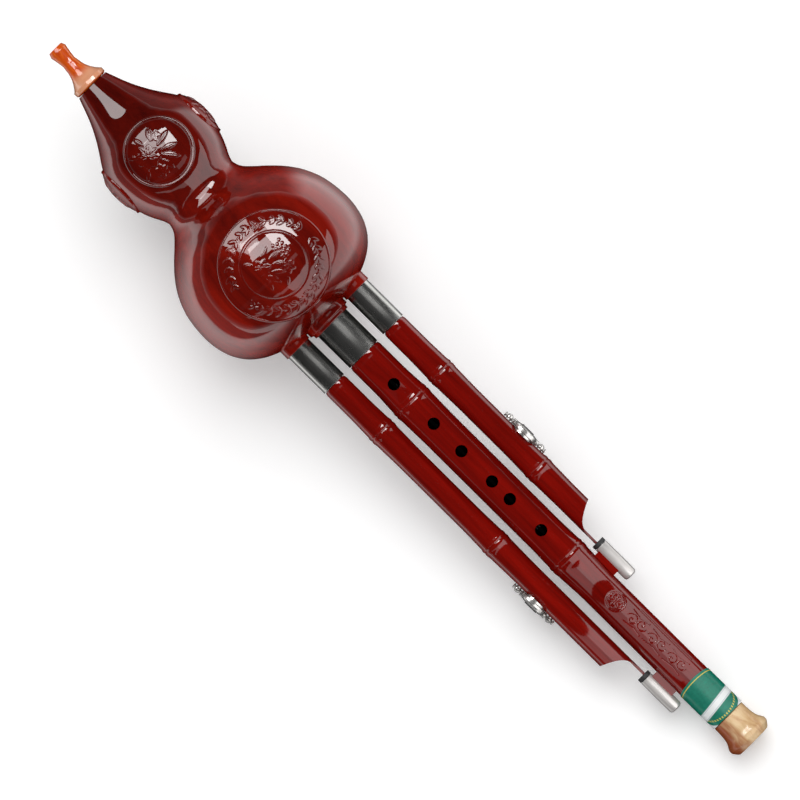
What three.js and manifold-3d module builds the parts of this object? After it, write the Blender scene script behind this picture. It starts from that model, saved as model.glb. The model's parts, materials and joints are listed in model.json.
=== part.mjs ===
// A hulusi: a gourd wind chest with a melody pipe between two drone pipes, lying on its back.
// Millimetres, +Z up. Inside the tilted group a station is a distance along +X from the tip of the
// mouthpiece, +Y is the side of the right drone, and +Z is the side of the finger holes.
import * as THREE from "three";
import { mergeVertices } from "three/addons/utils/BufferGeometryUtils.js";
import Module from "manifold-3d";

const wasm = await Module();
wasm.setup();

// Fits
const GLUE_GAP = 0.3; // between pieces that are glued, pressed or bound together
const SLIDE_GAP = 0.2; // round a piece that slides or turns
const OVERRUN = 2; // how far a cutter runs past what it cuts

// Facets in a full turn
const GOURD_SIDES = 32;
const PIPE_SIDES = 20;
const SMALL_SIDES = 10;
const RING_SIDES = 6; // round the section of a sealing ring
const OUTSIDE_STEPS = 7; // along one curve of the gourd's outside
const INSIDE_STEPS = 4; // along one curve of the gourd's hollow
const SCOOP_STEPS = 5; // along the curve of a drone's scooped end
const CUP_END_STEPS = 2; // round the closed end of a cup

const mouthpiece = {
  tipToGourd: 23.2,
  tipRadius: 4.5,
  waistRadius: 3.4,
  flangeRadius: 8.6,
  flangeThickness: 3.4,
  flangeChamfer: 0.8,
  boreRadius: 2.2,
  tenonRadius: 4.2,
  tenonHold: 4, // what stays in the neck at the full pull
  grooveDepth: 0.5,
  grooveLength: 8,
  grooveFromFlange: 4,
  pull: 10, // the furthest it is drawn out
  // Along the stem from the tip to the flange, and from the waist's radius to the flange's.
  flareShares: [
    [0.49, 0.03],
    [0.68, 0.15],
    [0.82, 0.36],
    [0.93, 0.62],
    [1, 0.84],
  ],
  tipShares: [0, 0.1, 0.24, 0.44], // the tip's edge, its swell and the start and end of the waist
};

const gourd = {
  neckRadius: 8.4,
  smallBulbRadius: 26.9,
  waistRadius: 20,
  bigBulbRadius: 45.1,
  neckToSmallBulb: 42.5,
  smallBulbToWaist: 26.3,
  waistToBigBulb: 46.2,
  bigBulbToBase: 32.5,
  wall: 3,
  neckPlugLength: 19, // the solid stretch below the top of the neck
  seamGap: 0.3, // between the two half shells
  // Handles of the outline's four curves, as shares of each curve's length and of its rise.
  neckHandleShares: [0.67, 0.503, 0.373],
  shoulderHandleShares: [0.662, 0.186],
  waistHandleShares: [0.194, 0.663],
  baseHandleShares: [0.648, 0.716],
};

const smallMedallion = { radius: 16, rise: 1.5 };
const bigMedallion = { radius: 26, rise: 1, domeRadius: 15.6, domeRise: 1.9 };
const restFlatRadius = 9; // the flat on the back dome that the gourd lies on

const neckSleeve = { wall: 0.8, length: 16, inset: 0.5 };
const socketPlate = { fromBase: 6, thickness: 10 };
const socketRing = { sectionRadius: 0.6, squeezeGap: 0.1 };

const melody = {
  radius: 9.05,
  tailRadius: 8.6,
  boreRadius: 5.5,
  tailLength: 56, // from the end of the longer drone to the bell
  ferruleRadius: 8.8,
  ferruleShowing: 20.2,
  bossRadius: 11.3,
  bossLength: 1.9,
  collarRadius: 10,
  collarLength: 1.8,
  reedTubeRadius: 4.5,
  reedTubeLength: 48,
  nodeShares: [0.131, 0.56],
  fingerHoleRadius: 2.8,
  fingerHoleShares: [0.082, 0.1915, 0.2675, 0.3515, 0.4005, 0.4865],
  thumbHoleShare: 0.044,
  tuningPull: 10,
};

const drone = {
  radius: 6.05,
  boreRadius: 3.6,
  spacing: 18.7, // from the melody pipe's axis to a drone's
  ferruleRadius: 6.2,
  collarRadius: 6.9,
  collarLength: 1.1,
  reedTubeRadius: 3.4,
  reedTubeLength: 34,
  scoopLength: 8.4,
  nibThickness: 1.3,
  nibHalfWidth: 1.5,
  nibShowing: 8,
  nibInCup: 3.6,
  boreEndWall: 9,
  tuningPull: 4,
  scoopBendShares: [0.5, 0.04], // the corner that the scoop curves round
  taperStartShare: 0.5, // along the scoop
  taperFootShare: 0.5, // of the radius, at the scoop's foot
};

// length runs from the ferrule to the outer edge of the scoop.
const rightDrone = { side: 1, length: 116.9, keyShare: 0.648, nodeShares: [0.257, 0.781] };
const leftDrone = { side: -1, length: 173.3, keyShare: 0.765, nodeShares: [0.173, 0.5845] };

const ferruleWall = 0.8;
const spigotLength = 16; // of a pipe inside its ferrule
const bambooNode = {
  rise: 0.62,
  grooveDepth: 0.35,
  grooveHalfWidth: 0.6,
  crestHalfWidth: 1.2,
  swellLength: 18,
  flankAlongShare: 0.5,
  flankRiseShare: 0.35,
};
const reedBush = { length: 8 };
const reedTube = { wall: 0.7, endWall: 1, slotHalfWidth: 1.4, flatDepth: 0.6 };
const reedPlate = {
  thickness: 0.5,
  overlap: 1.1, // beyond each side of the slot
  land: 2.8, // beyond each end of the slot
  tongueLength: 16,
  slit: 0.3,
  gap: 0.15,
};

const bell = {
  length: 16.2,
  neckRadius: 8.5,
  rimRadius: 11,
  faceRadius: 8.6,
  mouthRadius: 6.3,
  boreRadius: 4.6,
  spigotRadius: 6.6,
  spigotLength: 12,
  flareShares: [
    [0.3, 0.06],
    [0.52, 0.3],
    [0.66, 0.78],
    [0.73, 1],
    [0.83, 0.97],
    [0.95, 0.4],
  ],
  boreFlareShare: 0.55,
};

const label = { thickness: 0.2, gap: 0.1, fromBell: 1, fromBracket: 1 };

const cup = {
  radius: 3.2,
  wall: 0.6,
  length: 19.3,
  endRound: 1.4,
  fromMelodyAxis: 14,
};
const grommet = { length: 2.2, sleeveWall: 0.3, sleeveLength: 3 };
const bracket = { halfWidth: 2.2, startShare: 0.06, endShare: 0.7, grip: 1.6 };
const bracketPin = { radius: 0.6, depth: 1.8, shares: [0.25, 0.75] };

const key = {
  holeRadius: 3,
  seatRadius: 5,
  seatWall: 1.6,
  seatRise: 0.6,
  lidRadius: 6.6,
  lidRise: 3.05,
  lidSkirt: 2.5,
  lidWall: 0.7,
  lidTop: 0.95,
  lidChamfer: 0.4,
  padThickness: 0.9,
  inlayRadius: 3.5,
  inlayThickness: 0.8,
  inlayRise: 0.4,
  postSpacing: 19.4,
  ballRadius: 1.7,
  stemRadius: 0.8,
  stemDepth: 1.4,
  footRadius: 1.5,
  footThickness: 0.5,
  rodFromPipeAxis: 10.4,
  rodAngle: Math.PI / 4, // behind the pipe's outermost line
  rodRadius: 0.7,
  rodHeadRadius: 1.1,
  rodHeadLength: 0.8,
  knuckleRadius: 1.5,
};

// Stations worked out from the lengths
const gourdTop = mouthpiece.tipToGourd + GLUE_GAP;
const smallBulbStation = gourdTop + gourd.neckToSmallBulb;
const waistStation = smallBulbStation + gourd.smallBulbToWaist;
const bigBulbStation = waistStation + gourd.waistToBigBulb;
const baseStation = bigBulbStation + gourd.bigBulbToBase;
const plateEnd = baseStation - socketPlate.fromBase;
const plateStart = plateEnd - socketPlate.thickness;
const bossEnd = baseStation + melody.bossLength;
const melodyCollarEnd = bossEnd + melody.collarLength;
const droneCollarEnd = baseStation + drone.collarLength;
const pipeStart = melodyCollarEnd + melody.ferruleShowing;
const melodyLength = Math.max(rightDrone.length, leftDrone.length) + melody.tailLength;
const melodyEnd = pipeStart + melodyLength;
const bellStart = melodyEnd + GLUE_GAP;
const bellEnd = bellStart + bell.length;

// Colours and finishes
const lacquer = { color: 0x6e0e0a, roughness: 0.25, metalness: 0 };
const chrome = { color: 0x9c9894, roughness: 0.2, metalness: 1 };
const brass = { color: 0xb08a4a, roughness: 0.35, metalness: 1 };
const horn = { color: 0xc8641c, roughness: 0.3, metalness: 0 };
const paleHorn = { color: 0xd8b98c, roughness: 0.35, metalness: 0 };
const blackRubber = { color: 0x161412, roughness: 0.7, metalness: 0 };
const cork = { color: 0xb08050, roughness: 0.9, metalness: 0 };
const greenPaper = { color: 0x08705a, roughness: 0.6, metalness: 0 };
const whiteFelt = { color: 0xd8d2c4, roughness: 0.95, metalness: 0 };
const ivoryPlastic = { color: 0xd9d0bd, roughness: 0.5, metalness: 0 };

// A closed geometry as a solid that can be joined and cut.
function solidOf(geometry) {
  geometry.deleteAttribute("normal");
  geometry.deleteAttribute("uv");
  const merged = mergeVertices(geometry);
  return new wasm.Manifold(
    new wasm.Mesh({
      numProp: 3,
      vertProperties: merged.attributes.position.array,
      triVerts: merged.index.array,
    }),
  );
}

function geometryOf(solid) {
  const { vertProperties, triVerts } = solid.getMesh();
  const geometry = new THREE.BufferGeometry();
  geometry.setAttribute("position", new THREE.BufferAttribute(vertProperties, 3));
  geometry.setIndex(new THREE.BufferAttribute(triVerts, 1));
  geometry.computeVertexNormals();
  return geometry;
}

function piece(name, solid, finish) {
  const mesh = new THREE.Mesh(geometryOf(solid), new THREE.MeshStandardMaterial(finish));
  mesh.name = name;
  return mesh;
}

// An outline of [station, radius] points, turned about a line along X at y = across, z = up.
function turned(outline, sides, across = 0, up = 0) {
  const points = outline.map(([station, radius]) => new THREE.Vector2(radius, station));
  if (points[0].x > 0) points.push(points[0].clone());
  const geometry = new THREE.LatheGeometry(points, sides);
  geometry.rotateZ(-Math.PI / 2);
  geometry.translate(0, across, up);
  return solidOf(geometry);
}

function rod(start, end, radius, sides, across = 0, up = 0) {
  return turned([[start, 0], [start, radius], [end, radius], [end, 0]], sides, across, up);
}

function tube(start, end, outer, inner, sides, across = 0) {
  return turned([[start, inner], [start, outer], [end, outer], [end, inner]], sides, across);
}

// A round bar that runs along a direction from one distance to another, out of the point given.
function bar(centre, direction, from, to, radius, sides) {
  const geometry = new THREE.CylinderGeometry(radius, radius, to - from, sides);
  geometry.translate(0, (from + to) / 2, 0);
  const up = new THREE.Vector3(0, 1, 0);
  geometry.applyQuaternion(new THREE.Quaternion().setFromUnitVectors(up, direction));
  geometry.translate(centre.x, centre.y, centre.z);
  return solidOf(geometry);
}

// A box between two opposite corners.
function block(low, high) {
  const size = new THREE.Vector3().subVectors(high, low);
  const middle = new THREE.Vector3().addVectors(low, high).multiplyScalar(0.5);
  const geometry = new THREE.BoxGeometry(size.x, size.y, size.z);
  return solidOf(geometry.translate(middle.x, middle.y, middle.z));
}

// The outline of the gourd's outside as points of station and radius, from the neck to the base.
function gourdOutline(steps) {
  const path = new THREE.Path();
  path.moveTo(gourdTop, gourd.neckRadius);
  const spans = [
    [gourd.neckToSmallBulb, gourd.neckRadius, gourd.smallBulbRadius],
    [gourd.smallBulbToWaist, gourd.smallBulbRadius, gourd.waistRadius],
    [gourd.waistToBigBulb, gourd.waistRadius, gourd.bigBulbRadius],
    [gourd.bigBulbToBase, gourd.bigBulbRadius, 0],
  ];
  const [alongNeck, upNeck, intoBulb] = gourd.neckHandleShares;
  const handleShares = [
    [alongNeck, upNeck, intoBulb, 1],
    [gourd.shoulderHandleShares[0], 0, gourd.shoulderHandleShares[1], 1],
    [gourd.waistHandleShares[0], 0, gourd.waistHandleShares[1], 1],
    [gourd.baseHandleShares[0], 0, 0, 1 - gourd.baseHandleShares[1]],
  ];
  let station = gourdTop;
  spans.forEach(([length, startRadius, endRadius], i) => {
    const [along, rise, back, endRise] = handleShares[i];
    const change = endRadius - startRadius;
    path.bezierCurveTo(
      station + along * length,
      startRadius + rise * change,
      station + (1 - back) * length,
      startRadius + endRise * change,
      station + length,
      endRadius,
    );
    station += length;
  });
  return path.getPoints(steps);
}

// The gourd's outline moved outwards by a rise, or inwards where the rise is negative, and closed
// on the axis. It starts at the station given.
function gourdBody(rise, startStation, steps) {
  const points = gourdOutline(steps);
  const moved = points.map((point, i) => {
    const before = points[Math.max(i - 1, 0)];
    const after = points[Math.min(i + 1, points.length - 1)];
    const along = new THREE.Vector2().subVectors(after, before).normalize();
    return [point.x - along.y * rise, Math.max(point.y + along.x * rise, 0)];
  });
  moved[moved.length - 1] = [baseStation + rise, 0];
  const kept = moved.filter(([station]) => station > startStation);
  const first = moved[moved.length - kept.length - 1] ?? kept[0];
  const share = kept[0] === first ? 0 : (startStation - first[0]) / (kept[0][0] - first[0]);
  const startRadius = first[1] + share * (kept[0][1] - first[1]);
  const outline = [[startStation, 0], [startStation, startRadius], ...kept];
  return turned(outline, GOURD_SIDES);
}

const AXES = {
  front: new THREE.Vector3(0, 0, 1),
  back: new THREE.Vector3(0, 0, -1),
  right: new THREE.Vector3(0, 1, 0),
  left: new THREE.Vector3(0, -1, 0),
};

// A round boss that follows the gourd's surface and stands a rise proud of it.
function medallion(radius, rise, station, direction) {
  const centre = new THREE.Vector3(station, 0, 0);
  const disc = bar(centre, direction, 0, gourd.bigBulbRadius + OVERRUN, radius, PIPE_SIDES);
  return gourdBody(rise, gourdTop, OUTSIDE_STEPS).intersect(disc);
}

function gourdOutside() {
  let body = gourdBody(0, gourdTop, OUTSIDE_STEPS);
  for (const direction of Object.values(AXES)) {
    const { radius, rise } = smallMedallion;
    body = body.add(medallion(radius, rise, smallBulbStation, direction));
  }
  for (const direction of [AXES.front, AXES.back]) {
    const { radius, rise, domeRadius, domeRise } = bigMedallion;
    body = body.add(medallion(radius, rise, bigBulbStation, direction));
    body = body.add(medallion(domeRadius, domeRise, bigBulbStation, direction));
  }
  const bossStart = baseStation - gourd.wall;
  body = body.add(rod(bossStart, bossEnd, melody.bossRadius, PIPE_SIDES));
  body = body.add(rod(bossStart, melodyCollarEnd, melody.collarRadius, PIPE_SIDES));
  for (const { side } of [rightDrone, leftDrone]) {
    const across = side * drone.spacing;
    body = body.add(rod(plateEnd, droneCollarEnd, drone.collarRadius, PIPE_SIDES, across));
  }
  return body;
}

// How far the gourd's lowest flat lies from the axis, straight down, when the part is at rest.
const backDomeRadius = gourd.bigBulbRadius + bigMedallion.domeRise;
const restDepth = Math.sqrt(backDomeRadius ** 2 - restFlatRadius ** 2);

function bellOutline() {
  const swell = bell.rimRadius - bell.neckRadius;
  const outside = bell.flareShares.map(([along, out]) => [
    bellStart + along * bell.length,
    bell.neckRadius + out * swell,
  ]);
  return [[bellStart, bell.neckRadius], ...outside, [bellEnd, bell.faceRadius]];
}

// The tilt at which the flat on the gourd and the rim of the bell touch the same floor.
const restTilt = Math.min(
  ...bellOutline().map(([station, radius]) => {
    const along = station - bigBulbStation;
    return Math.asin(restDepth / Math.hypot(along, radius)) - Math.atan2(radius, along);
  }),
);

// Everything below the floor, which cuts the flat on the gourd's back.
function belowTheFloor() {
  const reach = gourd.bigBulbRadius;
  const geometry = new THREE.BoxGeometry(2 * reach, 2 * reach, reach);
  geometry.translate(0, 0, -restDepth - reach / 2);
  geometry.rotateY(-restTilt);
  geometry.translate(bigBulbStation, 0, 0);
  return solidOf(geometry);
}

// Everything on one side of the seam, in front of the axis or behind it.
function halfSpace(front) {
  const reach = gourd.bigBulbRadius + bigMedallion.domeRise + OVERRUN;
  const near = gourd.seamGap / 2;
  const end = melodyCollarEnd + OVERRUN;
  const low = new THREE.Vector3(gourdTop - OVERRUN, -reach, front ? near : -reach);
  const high = new THREE.Vector3(end, reach, front ? reach : -near);
  return block(low, high);
}

const neckBoreRadius =
  mouthpiece.tenonRadius + 2 * SLIDE_GAP + neckSleeve.wall + GLUE_GAP;
const pipesThroughBase = [
  { across: 0, radius: melody.ferruleRadius },
  { across: drone.spacing, radius: drone.ferruleRadius },
  { across: -drone.spacing, radius: drone.ferruleRadius },
];

function gourdShells() {
  const cavityStart = gourdTop + gourd.neckPlugLength;
  const cavity = gourdBody(-gourd.wall, cavityStart, INSIDE_STEPS);
  let shell = gourdOutside().subtract(cavity);
  const neckBore = rod(gourdTop - OVERRUN, cavityStart + OVERRUN, neckBoreRadius, PIPE_SIDES);
  shell = shell.subtract(neckBore);
  for (const { across, radius } of pipesThroughBase) {
    const end = melodyCollarEnd + OVERRUN;
    shell = shell.subtract(rod(plateStart, end, radius + SLIDE_GAP, PIPE_SIDES, across));
  }
  const front = shell.intersect(halfSpace(true));
  const back = shell.intersect(halfSpace(false)).subtract(belowTheFloor());
  return [
    piece("gourd_front_shell", front, lacquer),
    piece("gourd_back_shell", back, lacquer),
  ];
}

// A ring of round section in the groove of a socket.
function sealingRing(station, radius, sectionRadius, across) {
  const middle = radius + socketRing.squeezeGap + sectionRadius;
  const section = [];
  for (let i = 0; i < RING_SIDES; i++) {
    const turn = (-2 * Math.PI * i) / RING_SIDES;
    section.push([
      station + sectionRadius * Math.cos(turn),
      middle + sectionRadius * Math.sin(turn),
    ]);
  }
  return turned(section, PIPE_SIDES, across);
}

function gourdInside() {
  const inside = gourdBody(-gourd.wall - GLUE_GAP, plateStart, INSIDE_STEPS);
  let plate = inside.intersect(
    rod(plateStart, plateEnd, gourd.bigBulbRadius, GOURD_SIDES),
  );
  const ringStation = (plateStart + plateEnd) / 2;
  const ringNames = ["main_socket_ring", "right_socket_ring", "left_socket_ring"];
  const pieces = [];
  pipesThroughBase.forEach(({ across, radius }, i) => {
    const { sectionRadius, squeezeGap } = socketRing;
    const bore = rod(plateStart - OVERRUN, plateEnd + OVERRUN, radius + SLIDE_GAP, PIPE_SIDES, across);
    const halfGroove = sectionRadius + GLUE_GAP;
    const grooveRadius = radius + squeezeGap + 2 * sectionRadius + GLUE_GAP;
    const groove = rod(
      ringStation - halfGroove, ringStation + halfGroove, grooveRadius, PIPE_SIDES, across,
    );
    plate = plate.subtract(bore).subtract(groove);
    const ring = sealingRing(ringStation, radius, sectionRadius, across);
    pieces.push(piece(ringNames[i], ring, blackRubber));
  });
  pieces.push(piece("socket_plate", plate, ivoryPlastic));
  const sleeveStart = gourdTop + neckSleeve.inset;
  const sleeveInner = mouthpiece.tenonRadius + 2 * SLIDE_GAP;
  const sleeve = tube(
    sleeveStart, sleeveStart + neckSleeve.length, sleeveInner + neckSleeve.wall, sleeveInner, PIPE_SIDES,
  );
  pieces.push(piece("neck_sleeve", sleeve, brass));
  return pieces;
}

function mouthpieceSolid() {
  const { tipRadius, waistRadius, flangeRadius, flangeChamfer, tenonRadius } = mouthpiece;
  const end = mouthpiece.tipToGourd;
  const flangeStart = end - mouthpiece.flangeThickness;
  const [edge, swell, waist, waistEnd] = mouthpiece.tipShares.map((share) => share * flangeStart);
  const flare = mouthpiece.flareShares.map(([along, out]) => [
    along * flangeStart,
    waistRadius + out * (flangeRadius - waistRadius),
  ]);
  const grooveStart = end + mouthpiece.grooveFromFlange;
  const grooveEnd = grooveStart + mouthpiece.grooveLength;
  const grooveRadius = tenonRadius - mouthpiece.grooveDepth;
  const tenonEnd = end + mouthpiece.pull + mouthpiece.tenonHold;
  return turned(
    [
      [0, mouthpiece.boreRadius],
      [edge, tipRadius - flangeChamfer],
      [swell, tipRadius],
      [waist, (tipRadius + waistRadius) / 2],
      [waistEnd, waistRadius],
      ...flare,
      [flangeStart + flangeChamfer, flangeRadius],
      [end - flangeChamfer, flangeRadius],
      [end, flangeRadius - flangeChamfer],
      [end, tenonRadius],
      [grooveStart, tenonRadius],
      [grooveStart, grooveRadius],
      [grooveEnd, grooveRadius],
      [grooveEnd, tenonRadius],
      [tenonEnd, tenonRadius],
      [tenonEnd, mouthpiece.boreRadius],
    ],
    PIPE_SIDES,
  );
}

function mouthpieceAssembly() {
  const start = mouthpiece.tipToGourd + mouthpiece.grooveFromFlange + SLIDE_GAP;
  const end = start + mouthpiece.grooveLength - 2 * SLIDE_GAP;
  const inner = mouthpiece.tenonRadius - mouthpiece.grooveDepth + SLIDE_GAP;
  const outer = mouthpiece.tenonRadius + SLIDE_GAP;
  return [
    piece("mouthpiece", mouthpieceSolid(), horn),
    piece("mouthpiece_seal", tube(start, end, outer, inner, PIPE_SIDES), cork),
  ];
}

// The swelling of one bamboo node: a slow rise to a ridge, a narrow groove and a slow fall.
function nodeOutline(station, radiusBefore, radiusAfter) {
  const { rise, grooveDepth, grooveHalfWidth, crestHalfWidth, swellLength } = bambooNode;
  const { flankAlongShare, flankRiseShare } = bambooNode;
  const ridge = Math.max(radiusBefore, radiusAfter) + rise;
  const flank = flankAlongShare * swellLength;
  return [
    [station - swellLength, radiusBefore],
    [station - flank, radiusBefore + flankRiseShare * (ridge - radiusBefore)],
    [station - crestHalfWidth, ridge],
    [station - grooveHalfWidth, ridge],
    [station, ridge - grooveDepth],
    [station + grooveHalfWidth, ridge],
    [station + crestHalfWidth, ridge],
    [station + flank, radiusAfter + flankRiseShare * (ridge - radiusAfter)],
    [station + swellLength, radiusAfter],
  ];
}

function ferrule(start, radius, across) {
  return tube(start, pipeStart - GLUE_GAP, radius, radius - ferruleWall, PIPE_SIDES, across);
}

// A bush that holds the reed tube in the inner end of a ferrule.
function reedHolder(ferruleStart, ferruleRadius, tubeRadius, across) {
  const outer = ferruleRadius - ferruleWall - GLUE_GAP;
  const end = ferruleStart + reedBush.length;
  return tube(ferruleStart, end, outer, tubeRadius + GLUE_GAP, PIPE_SIDES, across);
}

// The reed tube, closed at its upper end, with a flat and a slot on its front for the reed plate.
function reedTubeSolid(start, end, radius, across) {
  const { wall, endWall, slotHalfWidth, flatDepth } = reedTube;
  const inner = radius - wall;
  const body = turned(
    [[start, 0], [start, radius], [end, radius], [end, inner], [start + endWall, inner], [start + endWall, 0]],
    SMALL_SIDES,
    across,
  );
  const slotStart = start + endWall + reedPlate.land;
  const slotEnd = slotStart + reedPlate.tongueLength;
  const slot = block(
    new THREE.Vector3(slotStart, across - slotHalfWidth, 0),
    new THREE.Vector3(slotEnd, across + slotHalfWidth, radius + OVERRUN),
  );
  const flatEnd = slotEnd + reedPlate.land + GLUE_GAP;
  const flat = block(
    new THREE.Vector3(start - OVERRUN, across - radius, radius - flatDepth),
    new THREE.Vector3(flatEnd, across + radius, radius + OVERRUN),
  );
  return body.subtract(slot).subtract(flat);
}

// A thin plate with a tongue that is cut free on three sides and speaks as the air passes.
function reedPlateSolid(start, radius, across) {
  const { endWall, slotHalfWidth, flatDepth } = reedTube;
  const { thickness, overlap, land, tongueLength, slit, gap } = reedPlate;
  const low = radius - flatDepth + gap;
  const high = low + thickness;
  const slotStart = start + endWall + land;
  const slotEnd = slotStart + tongueLength;
  const half = slotHalfWidth + overlap;
  let plate = block(
    new THREE.Vector3(slotStart - land, across - half, low),
    new THREE.Vector3(slotEnd + land, across + half, high),
  );
  const tongueHalf = slotHalfWidth - slit;
  for (const edge of [tongueHalf, -tongueHalf - slit]) {
    plate = plate.subtract(
      block(
        new THREE.Vector3(slotStart + slit, across + edge, low - OVERRUN),
        new THREE.Vector3(slotEnd, across + edge + slit, high + OVERRUN),
      ),
    );
  }
  return plate.subtract(
    block(
      new THREE.Vector3(slotEnd - slit, across - tongueHalf - slit, low - OVERRUN),
      new THREE.Vector3(slotEnd, across + tongueHalf + slit, high + OVERRUN),
    ),
  );
}

// The ferrule, bush, reed tube and reed plate that every speaking pipe has. At the full tuning
// pull the ferrule's inner end is still in the socket plate.
function reedAssembly(prefix, sizes, across) {
  const ferruleStart = plateStart - sizes.tuningPull;
  const tubeEnd = ferruleStart + reedBush.length;
  const tubeStart = tubeEnd - sizes.reedTubeLength;
  const { ferruleRadius, reedTubeRadius } = sizes;
  const bush = reedHolder(ferruleStart, ferruleRadius, reedTubeRadius, across);
  const reed = reedTubeSolid(tubeStart, tubeEnd, reedTubeRadius, across);
  const plate = reedPlateSolid(tubeStart, reedTubeRadius, across);
  return [
    piece(prefix + "_ferrule", ferrule(ferruleStart, ferruleRadius, across), chrome),
    piece(prefix + "_reed_bush", bush, ivoryPlastic),
    piece(prefix + "_reed_tube", reed, brass),
    piece(prefix + "_reed_plate", plate, brass),
  ];
}

// The finger holes in front, the thumb hole behind and the pin holes for the two cups.
function melodyHoles() {
  const { fingerHoleRadius, fingerHoleShares, thumbHoleShare, radius } = melody;
  const reach = radius + bambooNode.rise + OVERRUN;
  const holes = fingerHoleShares.map((share) => {
    const centre = new THREE.Vector3(pipeStart + share * melodyLength, 0, 0);
    return bar(centre, AXES.front, 0, reach, fingerHoleRadius, SMALL_SIDES);
  });
  const thumbCentre = new THREE.Vector3(pipeStart + thumbHoleShare * melodyLength, 0, 0);
  holes.push(bar(thumbCentre, AXES.back, 0, reach, fingerHoleRadius, SMALL_SIDES));
  for (const place of [cupPlace(rightDrone), cupPlace(leftDrone)]) {
    holes.push(...pinBars(place, bracketPin.radius + SLIDE_GAP, SLIDE_GAP));
  }
  return holes;
}

// The melody pipe's outline with its two bamboo nodes, a clearance outside its surface.
function melodyOutline(clearance) {
  const { radius, tailRadius, ferruleRadius, nodeShares } = melody;
  const [upperNode, lowerNode] = nodeShares.map((share) => pipeStart + share * melodyLength);
  const outline = [
    [pipeStart, ferruleRadius],
    ...nodeOutline(upperNode, ferruleRadius, radius),
    ...nodeOutline(lowerNode, radius, tailRadius),
    [melodyEnd, tailRadius],
  ];
  return outline.map(([station, reach]) => [station, reach + clearance]);
}

function melodyPipe() {
  const { boreRadius } = melody;
  const spigotRadius = melody.ferruleRadius - ferruleWall - GLUE_GAP;
  const spigotStart = pipeStart - spigotLength;
  const socketStart = melodyEnd - bell.spigotLength - GLUE_GAP;
  const socketRadius = bell.spigotRadius + GLUE_GAP;
  let pipe = turned(
    [
      [spigotStart, boreRadius],
      [spigotStart, spigotRadius],
      [pipeStart, spigotRadius],
      ...melodyOutline(0),
      [melodyEnd, socketRadius],
      [socketStart, socketRadius],
      [socketStart, boreRadius],
    ],
    PIPE_SIDES,
  );
  for (const hole of melodyHoles()) pipe = pipe.subtract(hole);
  return pipe;
}

function bellSolid() {
  const { spigotRadius, boreRadius, mouthRadius } = bell;
  const spigotStart = bellStart - bell.spigotLength;
  return turned(
    [
      [spigotStart, boreRadius],
      [spigotStart, spigotRadius],
      [bellStart, spigotRadius],
      ...bellOutline(),
      [bellEnd, mouthRadius],
      [bellStart + bell.boreFlareShare * bell.length, boreRadius],
    ],
    PIPE_SIDES,
  );
}

function labelBand() {
  const start = cupPlace(leftDrone).bracketEnd + label.fromBracket;
  const inner = melody.tailRadius + label.gap;
  return tube(start, melodyEnd - label.fromBell, inner + label.thickness, inner, PIPE_SIDES);
}

function scoopEnd(sizes) {
  return pipeStart + sizes.length + drone.scoopLength;
}

// Where the cup that receives a drone's nib starts, behind the grommet at its mouth, and where
// the bracket that carries it runs.
function cupPlace(sizes) {
  const cupStart = scoopEnd(sizes) + drone.nibShowing + grommet.length;
  const bracketStart = cupStart + bracket.startShare * cup.length;
  const bracketEnd = cupStart + bracket.endShare * cup.length;
  return { side: sizes.side, cupStart, bracketStart, bracketEnd };
}

// The pins that hold a bracket in the pipe's wall, or the holes for them.
function pinBars({ side, bracketStart, bracketEnd }, radius, deeper) {
  const outward = side > 0 ? AXES.right : AXES.left;
  const inner = melody.tailRadius - bracketPin.depth - deeper;
  const web = cup.fromMelodyAxis - cup.radius - 2 * GLUE_GAP;
  return bracketPin.shares.map((share) => {
    const station = bracketStart + share * (bracketEnd - bracketStart);
    const centre = new THREE.Vector3(station, 0, 0);
    return bar(centre, outward, inner, web, radius, SMALL_SIDES);
  });
}

// A block between a cup and the melody pipe, hollowed to both.
function cupBracket(place, across) {
  const { side, bracketStart, bracketEnd } = place;
  const near = side * (melody.tailRadius - bracket.grip);
  const far = side * (cup.fromMelodyAxis - cup.radius + bracket.grip);
  const solid = block(
    new THREE.Vector3(bracketStart, Math.min(near, far), -bracket.halfWidth),
    new THREE.Vector3(bracketEnd, Math.max(near, far), bracket.halfWidth),
  );
  const start = bracketStart - OVERRUN;
  const end = bracketEnd + OVERRUN;
  const outline = melodyOutline(SLIDE_GAP);
  const pipe = turned([[pipeStart, 0], ...outline, [melodyEnd, 0]], PIPE_SIDES);
  const cupRoom = rod(start, end, cup.radius + SLIDE_GAP, SMALL_SIDES, across);
  return pinBars(place, bracketPin.radius + SLIDE_GAP, SLIDE_GAP).reduce(
    (left, hole) => left.subtract(hole),
    solid.subtract(pipe).subtract(cupRoom),
  );
}

// The outline of a corner rounded over a quarter turn, from the station where it starts.
function roundedCorner(start, radius, round, steps) {
  const points = [];
  for (let i = 0; i <= steps; i++) {
    const turn = (Math.PI / 2) * (i / steps);
    points.push([start + round * Math.sin(turn), radius - round * (1 - Math.cos(turn))]);
  }
  return points;
}

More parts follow.
